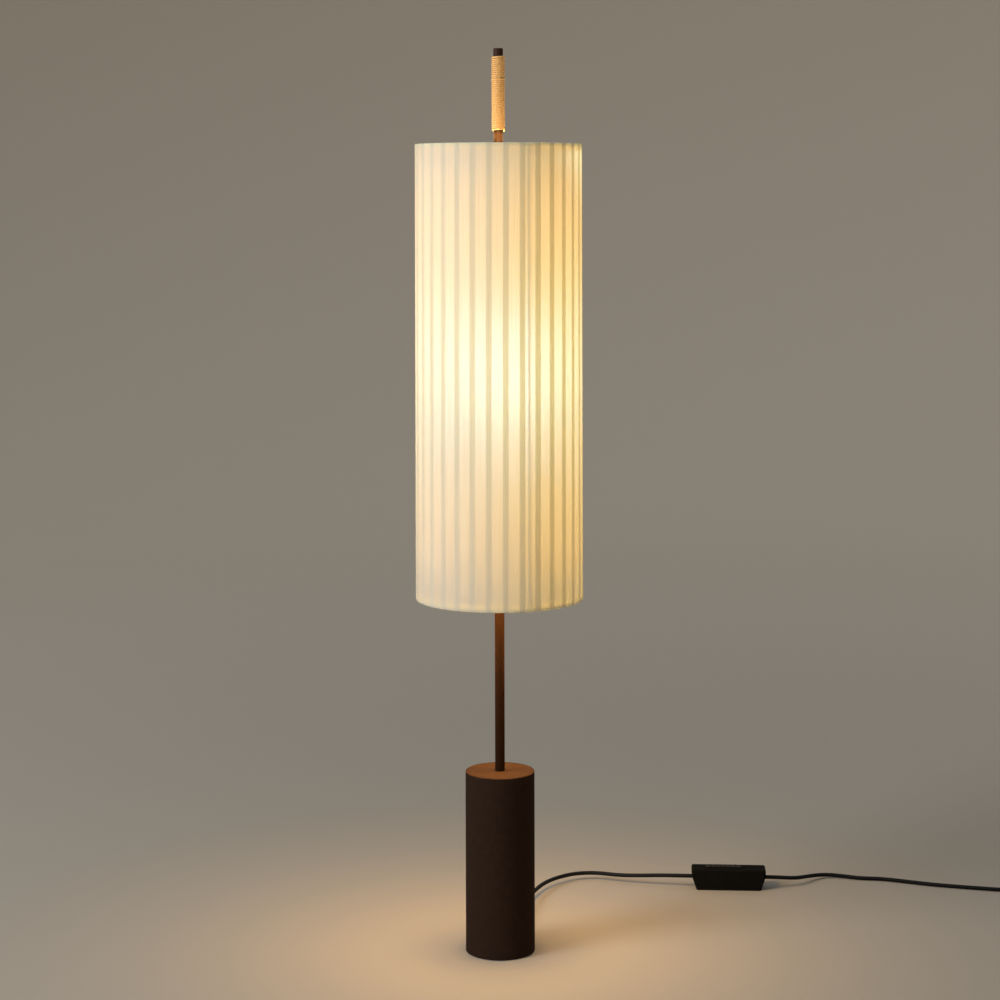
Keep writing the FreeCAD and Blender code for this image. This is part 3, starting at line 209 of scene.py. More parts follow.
def ramp(tree, factor, stops):
    """A colour that goes from one stop to another as a value grows."""
    made = tree.nodes.new("ShaderNodeValToRGB")
    tree.links.new(factor, made.inputs["Fac"])
    for element, (place, color) in zip(made.color_ramp.elements, stops):
        element.position = place
        element.color = (*color, 1)
    return made.outputs["Color"]


def mapped(tree, value, given, wanted):
    """A value between two given ones, brought to the same place between two wanted ones."""
    made = add_node(tree, "ShaderNodeMapRange", [(value, "Value")], From_Min=given[0], From_Max=given[1],
                    To_Min=wanted[0], To_Max=wanted[1])
    return made.outputs["Result"]


def arithmetic(tree, operation, *terms):
    """A sum on values that vary over the surface; each term is a socket or a number."""
    made = tree.nodes.new("ShaderNodeMath")
    made.operation = operation
    for slot, term in zip(made.inputs, terms):
        if isinstance(term, bpy.types.NodeSocket):
            tree.links.new(term, slot)
        else:
            slot.default_value = term
    return made.outputs["Value"]


def bump(tree, shader, height, strength, distance):
    made = add_node(tree, "ShaderNodeBump", [(height, "Height")], Strength=strength, Distance=distance)
    tree.links.new(made.outputs["Normal"], shader.inputs["Normal"])


def surface(name, color, roughness, grain, depth, spread=0.15, rough_spread=0.06, **sockets):
    """A hard surface: mottled colour and roughness and a fine bump, at the grain's scale."""
    material, tree, shader = new_material(name, color, roughness, **sockets)
    place = tree.nodes.new("ShaderNodeTexCoord").outputs["Object"]
    broad = noise(tree, place, grain / GRAINS_PER_MOTTLE, MOTTLE_DETAIL)
    fine = noise(tree, place, grain, GRAIN_DETAIL)
    stops = [(NOISE_LOW, shade_of(color, 1 - spread)), (NOISE_HIGH, shade_of(color, 1 + spread))]
    tree.links.new(ramp(tree, broad, stops), shader.inputs["Base Color"])
    span = (roughness - rough_spread, roughness + rough_spread)
    tree.links.new(mapped(tree, fine, (NOISE_LOW, NOISE_HIGH), span), shader.inputs["Roughness"])
    bump(tree, shader, fine, GRAIN_STRENGTH, depth)
    return material


def dress(material, *names):
    """Give CAD nodes a material in all their slots."""
    for name in names:
        data = nodes[name].data
        if not data.materials:
            data.materials.append(material)
        for index in range(len(data.materials)):
            data.materials[index] = material


# Pieces and their meshes


def add_object(name, data, body):
    made = bpy.data.objects.new(name, data)
    bpy.context.collection.objects.link(made)
    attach(made, body)
    return made


def mesh_data(name, mesh, material):
    """Turn a finished mesh into the data of an object."""
    data = bpy.data.meshes.new(name)
    mesh.to_mesh(data)
    mesh.free()
    data.materials.append(material)
    return data


def skin(mesh, uv, rings, mark, closed=False):
    """Smooth faces from ring to ring, with end faces if open; mark gives the UV of a ring's side."""
    for index in range(len(rings) if closed else len(rings) - 1):
        ring = rings[index]
        following = rings[(index + 1) % len(rings)]
        for side in range(len(ring)):
            other = (side + 1) % len(ring)
            face = mesh.faces.new([ring[side], ring[other], following[other], following[side]])
            face.smooth = True
            corners = [(index, side), (index, side + 1), (index + 1, side + 1), (index + 1, side)]
            for loop, corner in zip(face.loops, corners):
                loop[uv].uv = mark(*corner)
    if not closed:
        mesh.faces.new(rings[0])
        mesh.faces.new(rings[-1])
    bmesh.ops.recalc_face_normals(mesh, faces=mesh.faces)


# The lead

CORD_BEVEL_STEPS = 5
CORD_CURVE_STEPS = 10
CORD_ORDER = 3


def on_dimmer(along, level):
    """A point on the dimmer's long middle line."""
    return DIMMER_CENTRE + Vector((along * math.cos(DIMMER_TURN), along * math.sin(DIMMER_TURN), level))


def make_cord(name, points, rubber):
    """A stretch of the lead along control points; each point's radius gives the thickness."""
    data = bpy.data.curves.new(name, "CURVE")
    data.dimensions = "3D"
    data.bevel_depth = 1
    data.bevel_resolution = CORD_BEVEL_STEPS
    data.resolution_u = CORD_CURVE_STEPS
    data.use_fill_caps = True
    spline = data.splines.new("NURBS")
    spline.points.add(len(points) - 1)
    for spot, point in zip(spline.points, points):
        spot.co = (*point, 1)
        spot.radius = LEAD_DIAMETER / 2
    spline.order_u = CORD_ORDER
    spline.use_endpoint_u = True
    made = add_object(name, data, "stand")
    data.materials.append(rubber)
    return made


def coil_points():
    """Spiral in on the floor, up a layer where it reverses, and out again on top.

    The curve runs inside its control points, so these lie a little further out.
    """
    widen = 1 / math.cos(math.pi / COIL_STEPS)
    inner = COIL_RADIUS - COIL_PITCH * COIL_TURNS_IN
    reverse_end = COIL_TURNS_IN + COIL_TURNS_BACK
    total = reverse_end + COIL_TURNS_OUT
    points = []
    for step in range(round(total * COIL_STEPS) + 1):
        turns = step / COIL_STEPS
        level = COIL_LOW
        if turns <= COIL_TURNS_IN:
            radius = COIL_RADIUS - COIL_PITCH * turns
        elif turns < reverse_end:
            past = turns - COIL_TURNS_IN
            radius = inner - COIL_PITCH * past + COIL_PITCH * past**2 / COIL_TURNS_BACK
            level += COIL_PITCH * eased(past / COIL_TURNS_BACK)
        else:
            radius = inner + COIL_PITCH * (turns - reverse_end)
            level += COIL_PITCH
        angle = math.pi / 2 - 2 * math.pi * turns
        radius *= widen
        points.append((COIL_X + radius * math.cos(angle), COIL_CENTRE_Y + radius * math.sin(angle), level))
    return points


def make_lead():
    """The lead from the strain relief to the dimmer, on to the coil and the plug, and inside the lamp."""
    rubber = surface("lead_rubber", color=(0.0060, 0.0056, 0.0048), roughness=0.6, grain=900, depth=0.00004,
                     Specular_IOR_Level=0.12)
    outward = Vector((math.sin(EXIT_TURN), math.cos(EXIT_TURN), 0))
    mouth = outward * GLAND_END + Vector((0, 0, EXIT_HEIGHT))
    make_lead_to_dimmer(mouth, outward, rubber)
    make_lead_to_plug(rubber)
    dress(rubber, "cord_gland", "plug_boot", "plug_body")
    make_inner_lead(mouth, outward, rubber)


def make_lead_to_dimmer(mouth, outward, rubber):
    points = [mouth, mouth + outward * FIRST_RUN]
    points += ROUTE_TO_DIMMER
    points.append(on_dimmer(-DIMMER_LEAD_END - DIMMER_RUN, DIMMER_LEAD_HEIGHT))
    points.append(on_dimmer(-DIMMER_LEAD_END, DIMMER_LEAD_HEIGHT))
    first = make_cord("lead_to_dimmer_flex", points, rubber)
    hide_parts("lead_to_dimmer")


def make_lead_to_plug(rubber):
    start = on_dimmer(DIMMER_LEAD_END, DIMMER_LEAD_HEIGHT)
    points = [start, on_dimmer(DIMMER_LEAD_END + DIMMER_RUN, DIMMER_LEAD_HEIGHT)]
    points += ROUTE_TO_COIL
    coil_start = Vector((COIL_X - LEAD_DIAMETER, COIL_CENTRE_Y + COIL_RADIUS, COIL_LOW))
    points += [coil_start - Vector((FIRST_RUN, 0, 0)), coil_start]
    points += coil_points()
    plug_x = COIL_X + COIL_RADIUS + COIL_PITCH * (COIL_TURNS_OUT - COIL_TURNS_IN)
    tail = Vector((plug_x, COIL_CENTRE_Y - LEAD_DIAMETER, COIL_LOW + COIL_PITCH))
    plug_end = Vector((plug_x, tail.y - PLUG_TAIL, PLUG_LEVEL))
    run = Vector((0, PLUG_RUN, 0))
    middle = (tail + plug_end) / 2 + Vector((PLUG_BOW, 0, 0))
    points += [tail, tail - run, middle, plug_end + run, plug_end]
    second = make_cord("lead_to_plug_flex", points, rubber)
    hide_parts("lead_to_coil", "lead_coil", "lead_to_plug")
    on_second = make_tie() + [nodes[name] for name in ("plug_boot", "plug_body", "plug_pins")]


def make_inner_lead(mouth, outward, rubber):
    """The lead that the lamp holds, from the strain relief up through the pole and into the lampholder."""
    low = Vector((0, 0, EXIT_HEIGHT))
    bend = 2 * FOOT_BEND
    turn = Vector((0, 0, HOLDER_TURN_LEVEL))
    run = Vector((0, 0, HOLDER_RUN))
    under = turn + Vector((0, BULB_CENTRE.y, 0))
    points = [mouth, low + outward * bend, low, low + Vector((0, 0, bend)), turn - run]
    points += [turn, under, under + run, Vector((0, BULB_CENTRE.y, HOLDER_LEAD_TOP))]
    inner = make_cord("inner_lead_flex", points, rubber)
    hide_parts("inner_lead")


# The strap round the coil's front, where the inner turn passes a quarter turn before its end

TIE_WIDTH = 0.012
TIE_THICKNESS = 0.0006
TIE_TURN = COIL_TURNS_IN - 0.25
TIE_CORNER_STEPS = 8
TIE_TAB = 0.009
TIE_TAB_STEPS = 6
# How far the edge draws in, in half thicknesses, and where in the thickness
TIE_EDGE = [(1, 0), (0.25, 0.25), (0.25, 0.75), (1, 1)]
TIE_COLOR = (0.014, 0.014, 0.0145)
TIE_ROUGHNESS = 0.85
TIE_SHEEN = 0.04
TIE_RIBS = 250.0
TIE_RIB_WAVER = 1.5
TIE_RIB_STRENGTH = 0.6
TIE_RIB_DEPTH = 0.0002
# Colour follows the ribs' relief: painted shade in the troughs, lighter crests
TIE_SHADES = [(0.2, shade_of(TIE_COLOR, 0.6)), (0.8, shade_of(TIE_COLOR, 1.5))]


def tie_material():
    """Black woven strap with slanting ribs, darker in their troughs and lighter on their crests: painted
    shade.
    """
    woven, tree, shader = new_material("tie_strap", TIE_COLOR, TIE_ROUGHNESS, Sheen_Weight=TIE_SHEEN)
    place = tree.nodes.new("ShaderNodeUVMap").outputs["UV"]
    ribs = wave(tree, place, TIE_RIBS, "DIAGONAL", Distortion=TIE_RIB_WAVER)
    tree.links.new(ramp(tree, ribs, TIE_SHADES), shader.inputs["Base Color"])
    bump(tree, shader, ribs, TIE_RIB_STRENGTH, TIE_RIB_DEPTH)
    return woven


def tie_corners():
    """Middles of the strap's four bends, as (y, z), from the upper one inside the coil.

    The sag is how far the turn bends away under half the strap's width.
    """
    turn_r = COIL_RADIUS - COIL_PITCH * TIE_TURN
    sag = TIE_WIDTH**2 / 8 / turn_r
    near = COIL_CENTRE_Y - turn_r - COIL_PITCH
    far = COIL_CENTRE_Y - turn_r + sag
    high = COIL_LOW + COIL_PITCH
    return [(far, high), (near, high), (near, COIL_LOW), (far, COIL_LOW)]


def tie_path(reach):
    """Round the corners of the strap's loop at a reach from the turns it holds, as (y, z)."""
    path = []
    for quarter, (y, z) in enumerate(tie_corners()):
        for step in range(TIE_CORNER_STEPS + 1):
            angle = math.pi / 2 * (quarter + step / TIE_CORNER_STEPS)
            path.append((y + reach * math.cos(angle), z + reach * math.sin(angle)))
    return path


def strap_mesh(name, inside, outside, closed, woven):
    """A flat strap between two paths, with softly rounded edges."""
    mesh = bmesh.new()
    uv = mesh.loops.layers.uv.new("UVMap")
    half = TIE_WIDTH / 2
    edge = TIE_THICKNESS / 2
    profile = [(half - edge * draw, share) for draw, share in TIE_EDGE]
    profile += [(-x, 1 - share) for x, share in profile]
    rings = []
    for (y_in, z_in), (y_out, z_out) in zip(inside, outside):
        ring = []
        for x, share in profile:
            spot = (COIL_X + x, y_in + (y_out - y_in) * share, z_in + (z_out - z_in) * share)
            ring.append(mesh.verts.new(spot))
        rings.append(ring)
    lengths = [0.0]
    for spot, following in zip(outside, outside[1:] + outside[:1]):
        lengths.append(lengths[-1] + math.dist(spot, following))

    def mark(index, side):
        return profile[side % len(profile)][0], lengths[index]

    skin(mesh, uv, rings, mark, closed)
    return mesh_data(name, mesh, woven)


def make_tie():
    """Woven strap round the coil's front, with its end pressed down on top."""
    woven = tie_material()
    inside = tie_path(COIL_LOW - TIE_THICKNESS)
    loop = add_object("coil_strap", strap_mesh("coil_strap", inside, tie_path(COIL_LOW), True, woven),
                      "stand")
    (far, high), (near, _) = tie_corners()[:2]
    top = high + COIL_LOW
    ends = [(far + near) / 2 + TIE_TAB * (step / TIE_TAB_STEPS - 0.5) for step in range(TIE_TAB_STEPS + 1)]
    under = [(y, top) for y in ends]
    over = [(y, top + TIE_THICKNESS) for y in ends]
    tab = add_object("coil_strap_end", strap_mesh("coil_strap_end", under, over, False, woven),
                     "stand")
    for piece in (loop, tab):
        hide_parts("coil_tie")
    return [loop, tab]


# The ribbon shade

RIBBON_LAP = 0.0004
RIBBON_THICKNESS = 0.0005
RIBBON_TAIL = 0.006
RIBBON_TWIST = math.radians(0.9)
RIBBON_JITTER = 0.0016
RIBBON_SWAY = 0.00003
RIBBON_SWAY_WAVES = 21
RIBBON_DRIFT = 0.0003
RIBBON_DRIFT_WAVES = 9
RIBBON_COLUMNS = 12
RIBBON_ROWS = 60
# Each strip's UV starts this much further on, so that no two have the same streaks
RIBBON_UV_STEP = 0.05
# The turn round the rings
WRAP_STEPS = 12
WRAP_POWER = 0.28
HEM_ABOVE = 0.0016
HEM_BELOW = 0.0028
# Where the strips lie: tilted, so that one edge laps over the next strip
RIBBON_PERIOD = 2 * math.pi / RIBBON_COUNT
RIBBON_TILT = RIBBON_LAP / math.sin(RIBBON_PERIOD)
RIBBON_HALF = RIBBON_WIDTH / (2 * SHADE_R)
RIBBON_MIDDLE_R = SHADE_R - RIBBON_THICKNESS / 2 - RIBBON_TILT * math.sin(RIBBON_HALF)
# The cloth, and the light that it lets through in the middle and where strips lap
CLOTH_COLOR = (0.70, 0.72, 0.78)
CLOTH_ROUGHNESS = 0.85
CLOTH_SHEEN = 0.25
CLOTH_SHEEN_ROUGHNESS = 0.4
CLOTH_STREAKS = (900, 6, 1)
CLOTH_STREAK_DETAIL = 4
CLOTH_SHADES = [(NOISE_LOW, shade_of(CLOTH_COLOR, 0.93)), (NOISE_HIGH, shade_of(CLOTH_COLOR, 1.05))]
CLOTH_WEFT = 260.0
CLOTH_WARP = 330.0
CLOTH_WEAVE_STRENGTH = 0.35
CLOTH_WEAVE_DEPTH = 0.0002
THROUGH_SHADES = [(NOISE_LOW, (0.93, 0.86, 0.44)), (NOISE_HIGH, (1.0, 0.96, 0.54))]
THROUGH_MIDDLE = 0.64
THROUGH_BORDER = 0.585
BORDER_SOFTNESS = 0.0004


def ribbon_material():
    """Woven ribbon that lets some light through: fine ribs across, faint streaks along."""
    material, tree, shader = new_material("ribbon_cloth", CLOTH_COLOR, CLOTH_ROUGHNESS,
                                          Sheen_Weight=CLOTH_SHEEN, Sheen_Roughness=CLOTH_SHEEN_ROUGHNESS)
    place = tree.nodes.new("ShaderNodeUVMap").outputs["UV"]
    streak = noise(tree, stretched(tree, place, CLOTH_STREAKS), 1.0, CLOTH_STREAK_DETAIL)
    tree.links.new(ramp(tree, streak, CLOTH_SHADES), shader.inputs["Base Color"])
    weft = wave(tree, stretched(tree, place, (0, 1, 0)), CLOTH_WEFT, "Y")
    warp = wave(tree, stretched(tree, place, (1, 0, 0)), CLOTH_WARP, "X")
    bump(tree, shader, arithmetic(tree, "MULTIPLY", weft, warp), CLOTH_WEAVE_STRENGTH, CLOTH_WEAVE_DEPTH)
    through = add_node(tree, "ShaderNodeBsdfTranslucent")
    tree.links.new(ramp(tree, streak, THROUGH_SHADES), through.inputs["Color"])
    across = add_node(tree, "ShaderNodeSeparateXYZ", [(place, "Vector")]).outputs["X"]
    within = arithmetic(tree, "MODULO", across, RIBBON_UV_STEP)
    off_middle = arithmetic(tree, "ABSOLUTE", arithmetic(tree, "SUBTRACT", within, RIBBON_WIDTH / 2))
    lapped = RIBBON_WIDTH - 2 * math.pi * SHADE_R / RIBBON_COUNT
    border = RIBBON_WIDTH / 2 - lapped
    share = mapped(tree, off_middle, (border - BORDER_SOFTNESS, border + BORDER_SOFTNESS),
                   (THROUGH_MIDDLE, THROUGH_BORDER))
    mix = add_node(tree, "ShaderNodeMixShader",
                   [(share, "Fac"), (shader.outputs["BSDF"], 1), (through.outputs["BSDF"], 2)])
    tree.links.new(mix.outputs["Shader"], tree.nodes["Material Output"].inputs["Surface"])
    return material


def ribbon_wrap(turn, rise, level, start):
    """Half a turn round a ring, folded more sharply than the wire's own round."""
    for step in range(WRAP_STEPS + 1):
        angle = start + math.pi * step / WRAP_STEPS
        radius = RING_R + turn * fuller(math.cos(angle), WRAP_POWER)
        yield radius, level + rise * fuller(math.sin(angle), WRAP_POWER)


def ribbon_profile(reach):
    """Radius and height along one strip, from the tail inside the lower ring to the one inside the upper."""
    low = SHADE_BOTTOM + RING_WIRE / 2
    high = SHADE_TOP - RING_WIRE / 2
    turn = reach - RING_R
    points = [(RING_R - turn, low + RIBBON_TAIL)]
    points += ribbon_wrap(turn, HEM_BELOW, low, math.pi)
    for step in range(1, RIBBON_ROWS):
        points.append((reach, low + (high - low) * step / RIBBON_ROWS))
    points += ribbon_wrap(turn, HEM_ABOVE, high, 0)
    points.append((RING_R - turn, high - RIBBON_TAIL))
    return points


def ribbon_strip(index, facing, sway_phase, cloth):
    """One strip's mesh, and its UV marks by column and row, which measure it laid flat."""
    mesh = bmesh.new()
    uv = mesh.loops.layers.uv.new("UVMap")
    grid, marks = [], []
    for column in range(RIBBON_COLUMNS + 1):
        across = 2 * column / RIBBON_COLUMNS - 1
        offset = RIBBON_HALF * across
        along = 0.0
        line, line_marks, last = [], [], None
        for radius, level in ribbon_profile(RIBBON_MIDDLE_R - RIBBON_TILT * math.sin(offset)):
            if last is not None:
                along += math.hypot(radius - last[0], level - last[1])
            last = (radius, level)
            sway = RIBBON_SWAY * math.sin(RIBBON_SWAY_WAVES * level + sway_phase) * (1 - across**2)
            height = (level - SHADE_BOTTOM) / (SHADE_TOP - SHADE_BOTTOM)
            angle = facing + offset + RIBBON_TWIST * (height - 0.5)
            angle += RIBBON_DRIFT * math.sin(RIBBON_DRIFT_WAVES * level + sway_phase)
            spot = ((radius + sway) * math.cos(angle), (radius + sway) * math.sin(angle), level)
            line.append(mesh.verts.new(spot))
            line_marks.append((RIBBON_WIDTH * (0.5 + across / 2) + RIBBON_UV_STEP * index, along))
        grid.append(line)
        marks.append(line_marks)
    for column in range(RIBBON_COLUMNS):
        for row in range(len(grid[0]) - 1):
            corners = [(column, row), (column + 1, row), (column + 1, row + 1), (column, row + 1)]
            face = mesh.faces.new([grid[c][r] for c, r in corners])
            face.smooth = True
            for loop, (c, r) in zip(face.loops, corners):
                loop[uv].uv = marks[c][r]
    return mesh_data(f"ribbon_{index:02d}", mesh, cloth), marks


def make_ribbons():
    cloth = ribbon_material()
    strips = []
    for index in range(RIBBON_COUNT):
        facing = RIBBON_PHASE + RIBBON_PERIOD * index + random.uniform(-RIBBON_JITTER, RIBBON_JITTER)
        sway_phase = random.uniform(0, 2 * math.pi)
        data, marks = ribbon_strip(index, facing, sway_phase, cloth)
        strip = add_object(f"ribbon_{index:02d}", data, "shade")
        strips.append(strip)
    for strip in strips:
        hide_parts("shade_ribbons")


# The wound grip

GRIP_CORD = 0.0028
GRIP_POWER = 0.8
GRIP_TURNS = 37
GRIP_LOBE = 0.007
GRIP_LAY = 0.0075
GRIP_STRANDS = 3
GRIP_SIDES = 15
GRIP_STEPS = 72
# The split between the two lengths, counted in turns, and the proud turn round it
GRIP_SPLIT_TURN = 26
GRIP_SPLIT_GAP = 0.01
GRIP_PROUD = 0.0006
GRIP_PROUD_BEFORE = 0.25
GRIP_PROUD_HALF = 0.5
GRIP_PROUD_EASE = 0.2
# The rise of the last turn, in metres, and where it starts and how long it takes, in turns
GRIP_LAST_GAP = 0.0003
GRIP_LAST_TURN = 0.9
GRIP_LAST_EASE = 0.3
# The cord
GRIP_COLOR = (0.74, 0.40, 0.112)
GRIP_ROUGHNESS = 0.62
GRIP_SHEEN = 0.15
# One wave a strand, for painted shade in the grooves between the strands
GRIP_GROOVE_SHADE_SCALE = math.pi / 10
GRIP_MOTTLE = (60, 1.2, 1)
GRIP_MOTTLE_DETAIL = 4
GRIP_MOTTLE_LIFT = 0.2
GRIP_SHADES = [(0.15, shade_of(GRIP_COLOR, 0.93)), (0.75, shade_of(GRIP_COLOR, 1.05))]
GRIP_FIBRES = (150, 9, 1)
GRIP_FIBRE_DETAIL = 3
GRIP_FIBRE_STRENGTH = 0.2
GRIP_FIBRE_DEPTH = 0.0001


def grip_material():
    """Smooth tan cord: faint random tones and painted shade in the grooves between the strands, with fine
    fibres.
    """
    material, tree, shader = new_material("grip_cord", GRIP_COLOR, GRIP_ROUGHNESS, Sheen_Weight=GRIP_SHEEN)
    place = tree.nodes.new("ShaderNodeUVMap").outputs["UV"]
    # Darkest in the grooves between the strands: painted shade, mixed with a random mottle
    twist = wave(tree, place, GRIP_GROOVE_SHADE_SCALE, "Y", Phase_Offset=math.pi)
    mottle = noise(tree, stretched(tree, place, GRIP_MOTTLE), 1.0, GRIP_MOTTLE_DETAIL)
    both = arithmetic(tree, "MULTIPLY_ADD", twist, mottle, GRIP_MOTTLE_LIFT)
    tree.links.new(ramp(tree, both, GRIP_SHADES), shader.inputs["Base Color"])
    fibre = noise(tree, stretched(tree, place, GRIP_FIBRES), 1.0, GRIP_FIBRE_DETAIL)
    bump(tree, shader, fibre, GRIP_FIBRE_STRENGTH, GRIP_FIBRE_DEPTH)
    return material


def grip_station(done):
    """Middle radius and level of the cord after so many turns; it lies a little proud at the split."""
    climb = (GRIP_TOP - GRIP_BOTTOM - GRIP_CORD - GRIP_LAST_GAP) / GRIP_TURNS
    from_proud = abs(done - GRIP_SPLIT_TURN + GRIP_PROUD_BEFORE)
    proud = eased((GRIP_PROUD_HALF - from_proud) / GRIP_PROUD_EASE)
    last = eased((done - GRIP_TURNS + GRIP_LAST_TURN) / GRIP_LAST_EASE)
    radius = POLE_R + GRIP_CORD / 2 + GRIP_PROUD * proud
    level = GRIP_BOTTOM + GRIP_CORD / 2 + climb * done + GRIP_LAST_GAP * last
    return radius, level


def make_winding(name, node_name, first, last, material):
    """Turns of laid cord, from one turn's count to another, wound tightly round the pole."""
    mesh = bmesh.new()
    uv = mesh.loops.layers.uv.new("UVMap")
    turn_length = 2 * math.pi * (POLE_R + GRIP_CORD / 2)
    rings, lay = [], []
    count = round((last - first) * GRIP_STEPS)
    for step in range(count + 1):
        done = first + (last - first) * step / count
        angle = 2 * math.pi * done
        radius, level = grip_station(done)
        out = Vector((math.cos(angle), math.sin(angle), 0))
        centre = out * radius + Vector((0, 0, level))
        twist = 2 * math.pi * done * turn_length / GRIP_LAY
        ring = []
        for side in range(GRIP_SIDES):
            around = 2 * math.pi * side / GRIP_SIDES
            lobe = 1 - GRIP_LOBE * (1 - math.cos(GRIP_STRANDS * around - twist))
            across = fuller(math.cos(around), GRIP_POWER) * GRIP_CORD / 2 * lobe
            rise = fuller(math.sin(around), GRIP_POWER) * GRIP_CORD / 2 * lobe
            ring.append(mesh.verts.new(centre + out * across + Vector((0, 0, rise))))
        rings.append(ring)
        lay.append((done * turn_length, twist))

    def mark(index, side):
        along, twist = lay[index]
        return along, GRIP_STRANDS * side / GRIP_SIDES - twist / (2 * math.pi)

    skin(mesh, uv, rings, mark)
    winding = add_object(name, mesh_data(name, mesh, material), "stand")
    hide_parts(node_name)


def make_grip():
    cord = grip_material()
    make_winding("grip_cord_lower", "grip_winding_lower", 0, GRIP_SPLIT_TURN - GRIP_SPLIT_GAP, cord)
    make_winding("grip_cord_upper", "grip_winding_upper", GRIP_SPLIT_TURN + GRIP_SPLIT_GAP, GRIP_TURNS, cord)


# Finishes of the hard pieces, with the nodes that wear them

MATT_PAINT = dict(roughness=0.6, grain=1400, depth=0.00006, spread=0.10, rough_spread=0.05,
                  Specular_IOR_Level=0.01)
FINISHES = [
    ("brown_paint", ["base_casing"],
     dict(MATT_PAINT, color=(0.0250, 0.0138, 0.0084))),
    # The base's brown paint made darker on the pole, the shade's stop and the lampholder bracket: painted
    # shade
    ("pole_paint_painted_shade", ["pole", "shade_stop", "holder_bracket"],
     dict(MATT_PAINT, color=(0.0158, 0.0072, 0.0033))),
    # The same brown paint made lighter on the pole's cap: painted light
    ("cap_paint_painted_light", ["pole_cap"],
     dict(color=(0.0425, 0.0175, 0.0100), roughness=0.5, grain=1400, depth=0.00004, spread=0.10,
          rough_spread=0.05, Specular_IOR_Level=0.1)),
    ("plate_steel", ["base_plate", "base_screws", "pole_washer", "pole_nut", "bracket_screw", "stop_screw",
                     "nipple_nut", "holder_nut", "holder_nipple", "dimmer_screws"],
     dict(color=(0.52, 0.52, 0.53), roughness=0.34, grain=900, depth=0.00003, Metallic=1.0)),
    ("cap_metal", ["bulb_cap"],
     dict(color=(0.74, 0.74, 0.74), roughness=0.38, grain=700, depth=0.00004, Metallic=1.0)),
    ("weight_iron", ["counterweight"],
     dict(color=(0.07, 0.07, 0.075), roughness=0.7, grain=500, depth=0.0002, spread=0.3)),
    ("foot_rubber", ["foot_pad"],
     dict(color=(0.015, 0.015, 0.015), roughness=0.8, grain=700, depth=0.0001)),
    ("frame_paint", ["shade_top_ring", "shade_bottom_ring", "shade_uprights", "upper_spider", "lower_spider"],
     dict(color=(0.78, 0.76, 0.72), roughness=0.45, grain=1200, depth=0.00003, spread=0.04)),
    ("pin_metal", ["plug_pins", "socket_contact", "bulb_contact", "socket_shell"],
     dict(color=(0.62, 0.56, 0.42), roughness=0.28, grain=900, depth=0.00002, Metallic=1.0)),
    ("holder_plastic", ["lampholder"],
     dict(color=(0.014, 0.014, 0.014), roughness=0.5, grain=1100, depth=0.00004)),
    ("holder_ceramic", ["socket_block"],
     dict(color=(0.72, 0.70, 0.66), roughness=0.25, grain=500, depth=0.00003, spread=0.05)),
    ("dimmer_plastic", ["dimmer_base", "dimmer_cover"],
     dict(color=(0.0070, 0.0066, 0.0048), roughness=0.7, grain=1500, depth=0.00008,
          Specular_IOR_Level=0.01)),
    ("slider_plastic", ["dimmer_slider"],
     dict(color=(0.0120, 0.0104, 0.0064), roughness=0.45, grain=1500, depth=0.00004,
          Specular_IOR_Level=0.08)),
    ("board_resin", ["dimmer_board", "dimmer_resistor", "dimmer_terminals"],
     dict(color=(0.02, 0.09, 0.045), roughness=0.5, grain=700, depth=0.00003)),
]
PLAIN_FINISHES = [
    ("bulb_clear", ["bulb_glass", "bulb_stem"],
     dict(color=(1.0, 0.97, 0.90), roughness=0.02, Transmission_Weight=1.0, IOR=1.12)),
    ("filament_coat", ["bulb_filaments"],
     dict(color=(1.0, 0.72, 0.35), roughness=0.5, Emission_Strength=12.0,
          Emission_Color=(1.0, 0.74, 0.40, 1))),
]


def finish_hard_pieces():
    for name, wearers, look in FINISHES:
        dress(surface(name, **look), *wearers)
    for name, wearers, look in PLAIN_FINISHES:
        material, _, _ = new_material(name, **look)
        dress(material, *wearers)


# Stage

STAGE_RADIUS = 6.5
STAGE_BEND = 2.6
STAGE_HEIGHT = 3.4
STAGE_FIRST_RING = 1.5
STAGE_STEPS = 16
STAGE_SIDES = 96
STAGE_FLOOR = (0.302, 0.260, 0.190)
STAGE_WALL = (0.535, 0.450, 0.330)
STAGE_ROUGHNESS = 0.9
# The paper's colour changes with the distance from the lamp, in tens of metres
STAGE_SCALE = (0.1, 0.1, 0.1)
STAGE_STOPS = [(0.08, STAGE_FLOOR), (0.40, STAGE_WALL)]


def stage_material():
    paper, tree, shader = new_material("stage_paper", STAGE_FLOOR, STAGE_ROUGHNESS)
    place = tree.nodes.new("ShaderNodeTexCoord").outputs["Object"]
    reach = add_node(tree, "ShaderNodeVectorMath", [(stretched(tree, place, STAGE_SCALE), 0)])
    reach.operation = "LENGTH"
    tree.links.new(ramp(tree, reach.outputs["Value"], STAGE_STOPS), shader.inputs["Base Color"])
    return paper


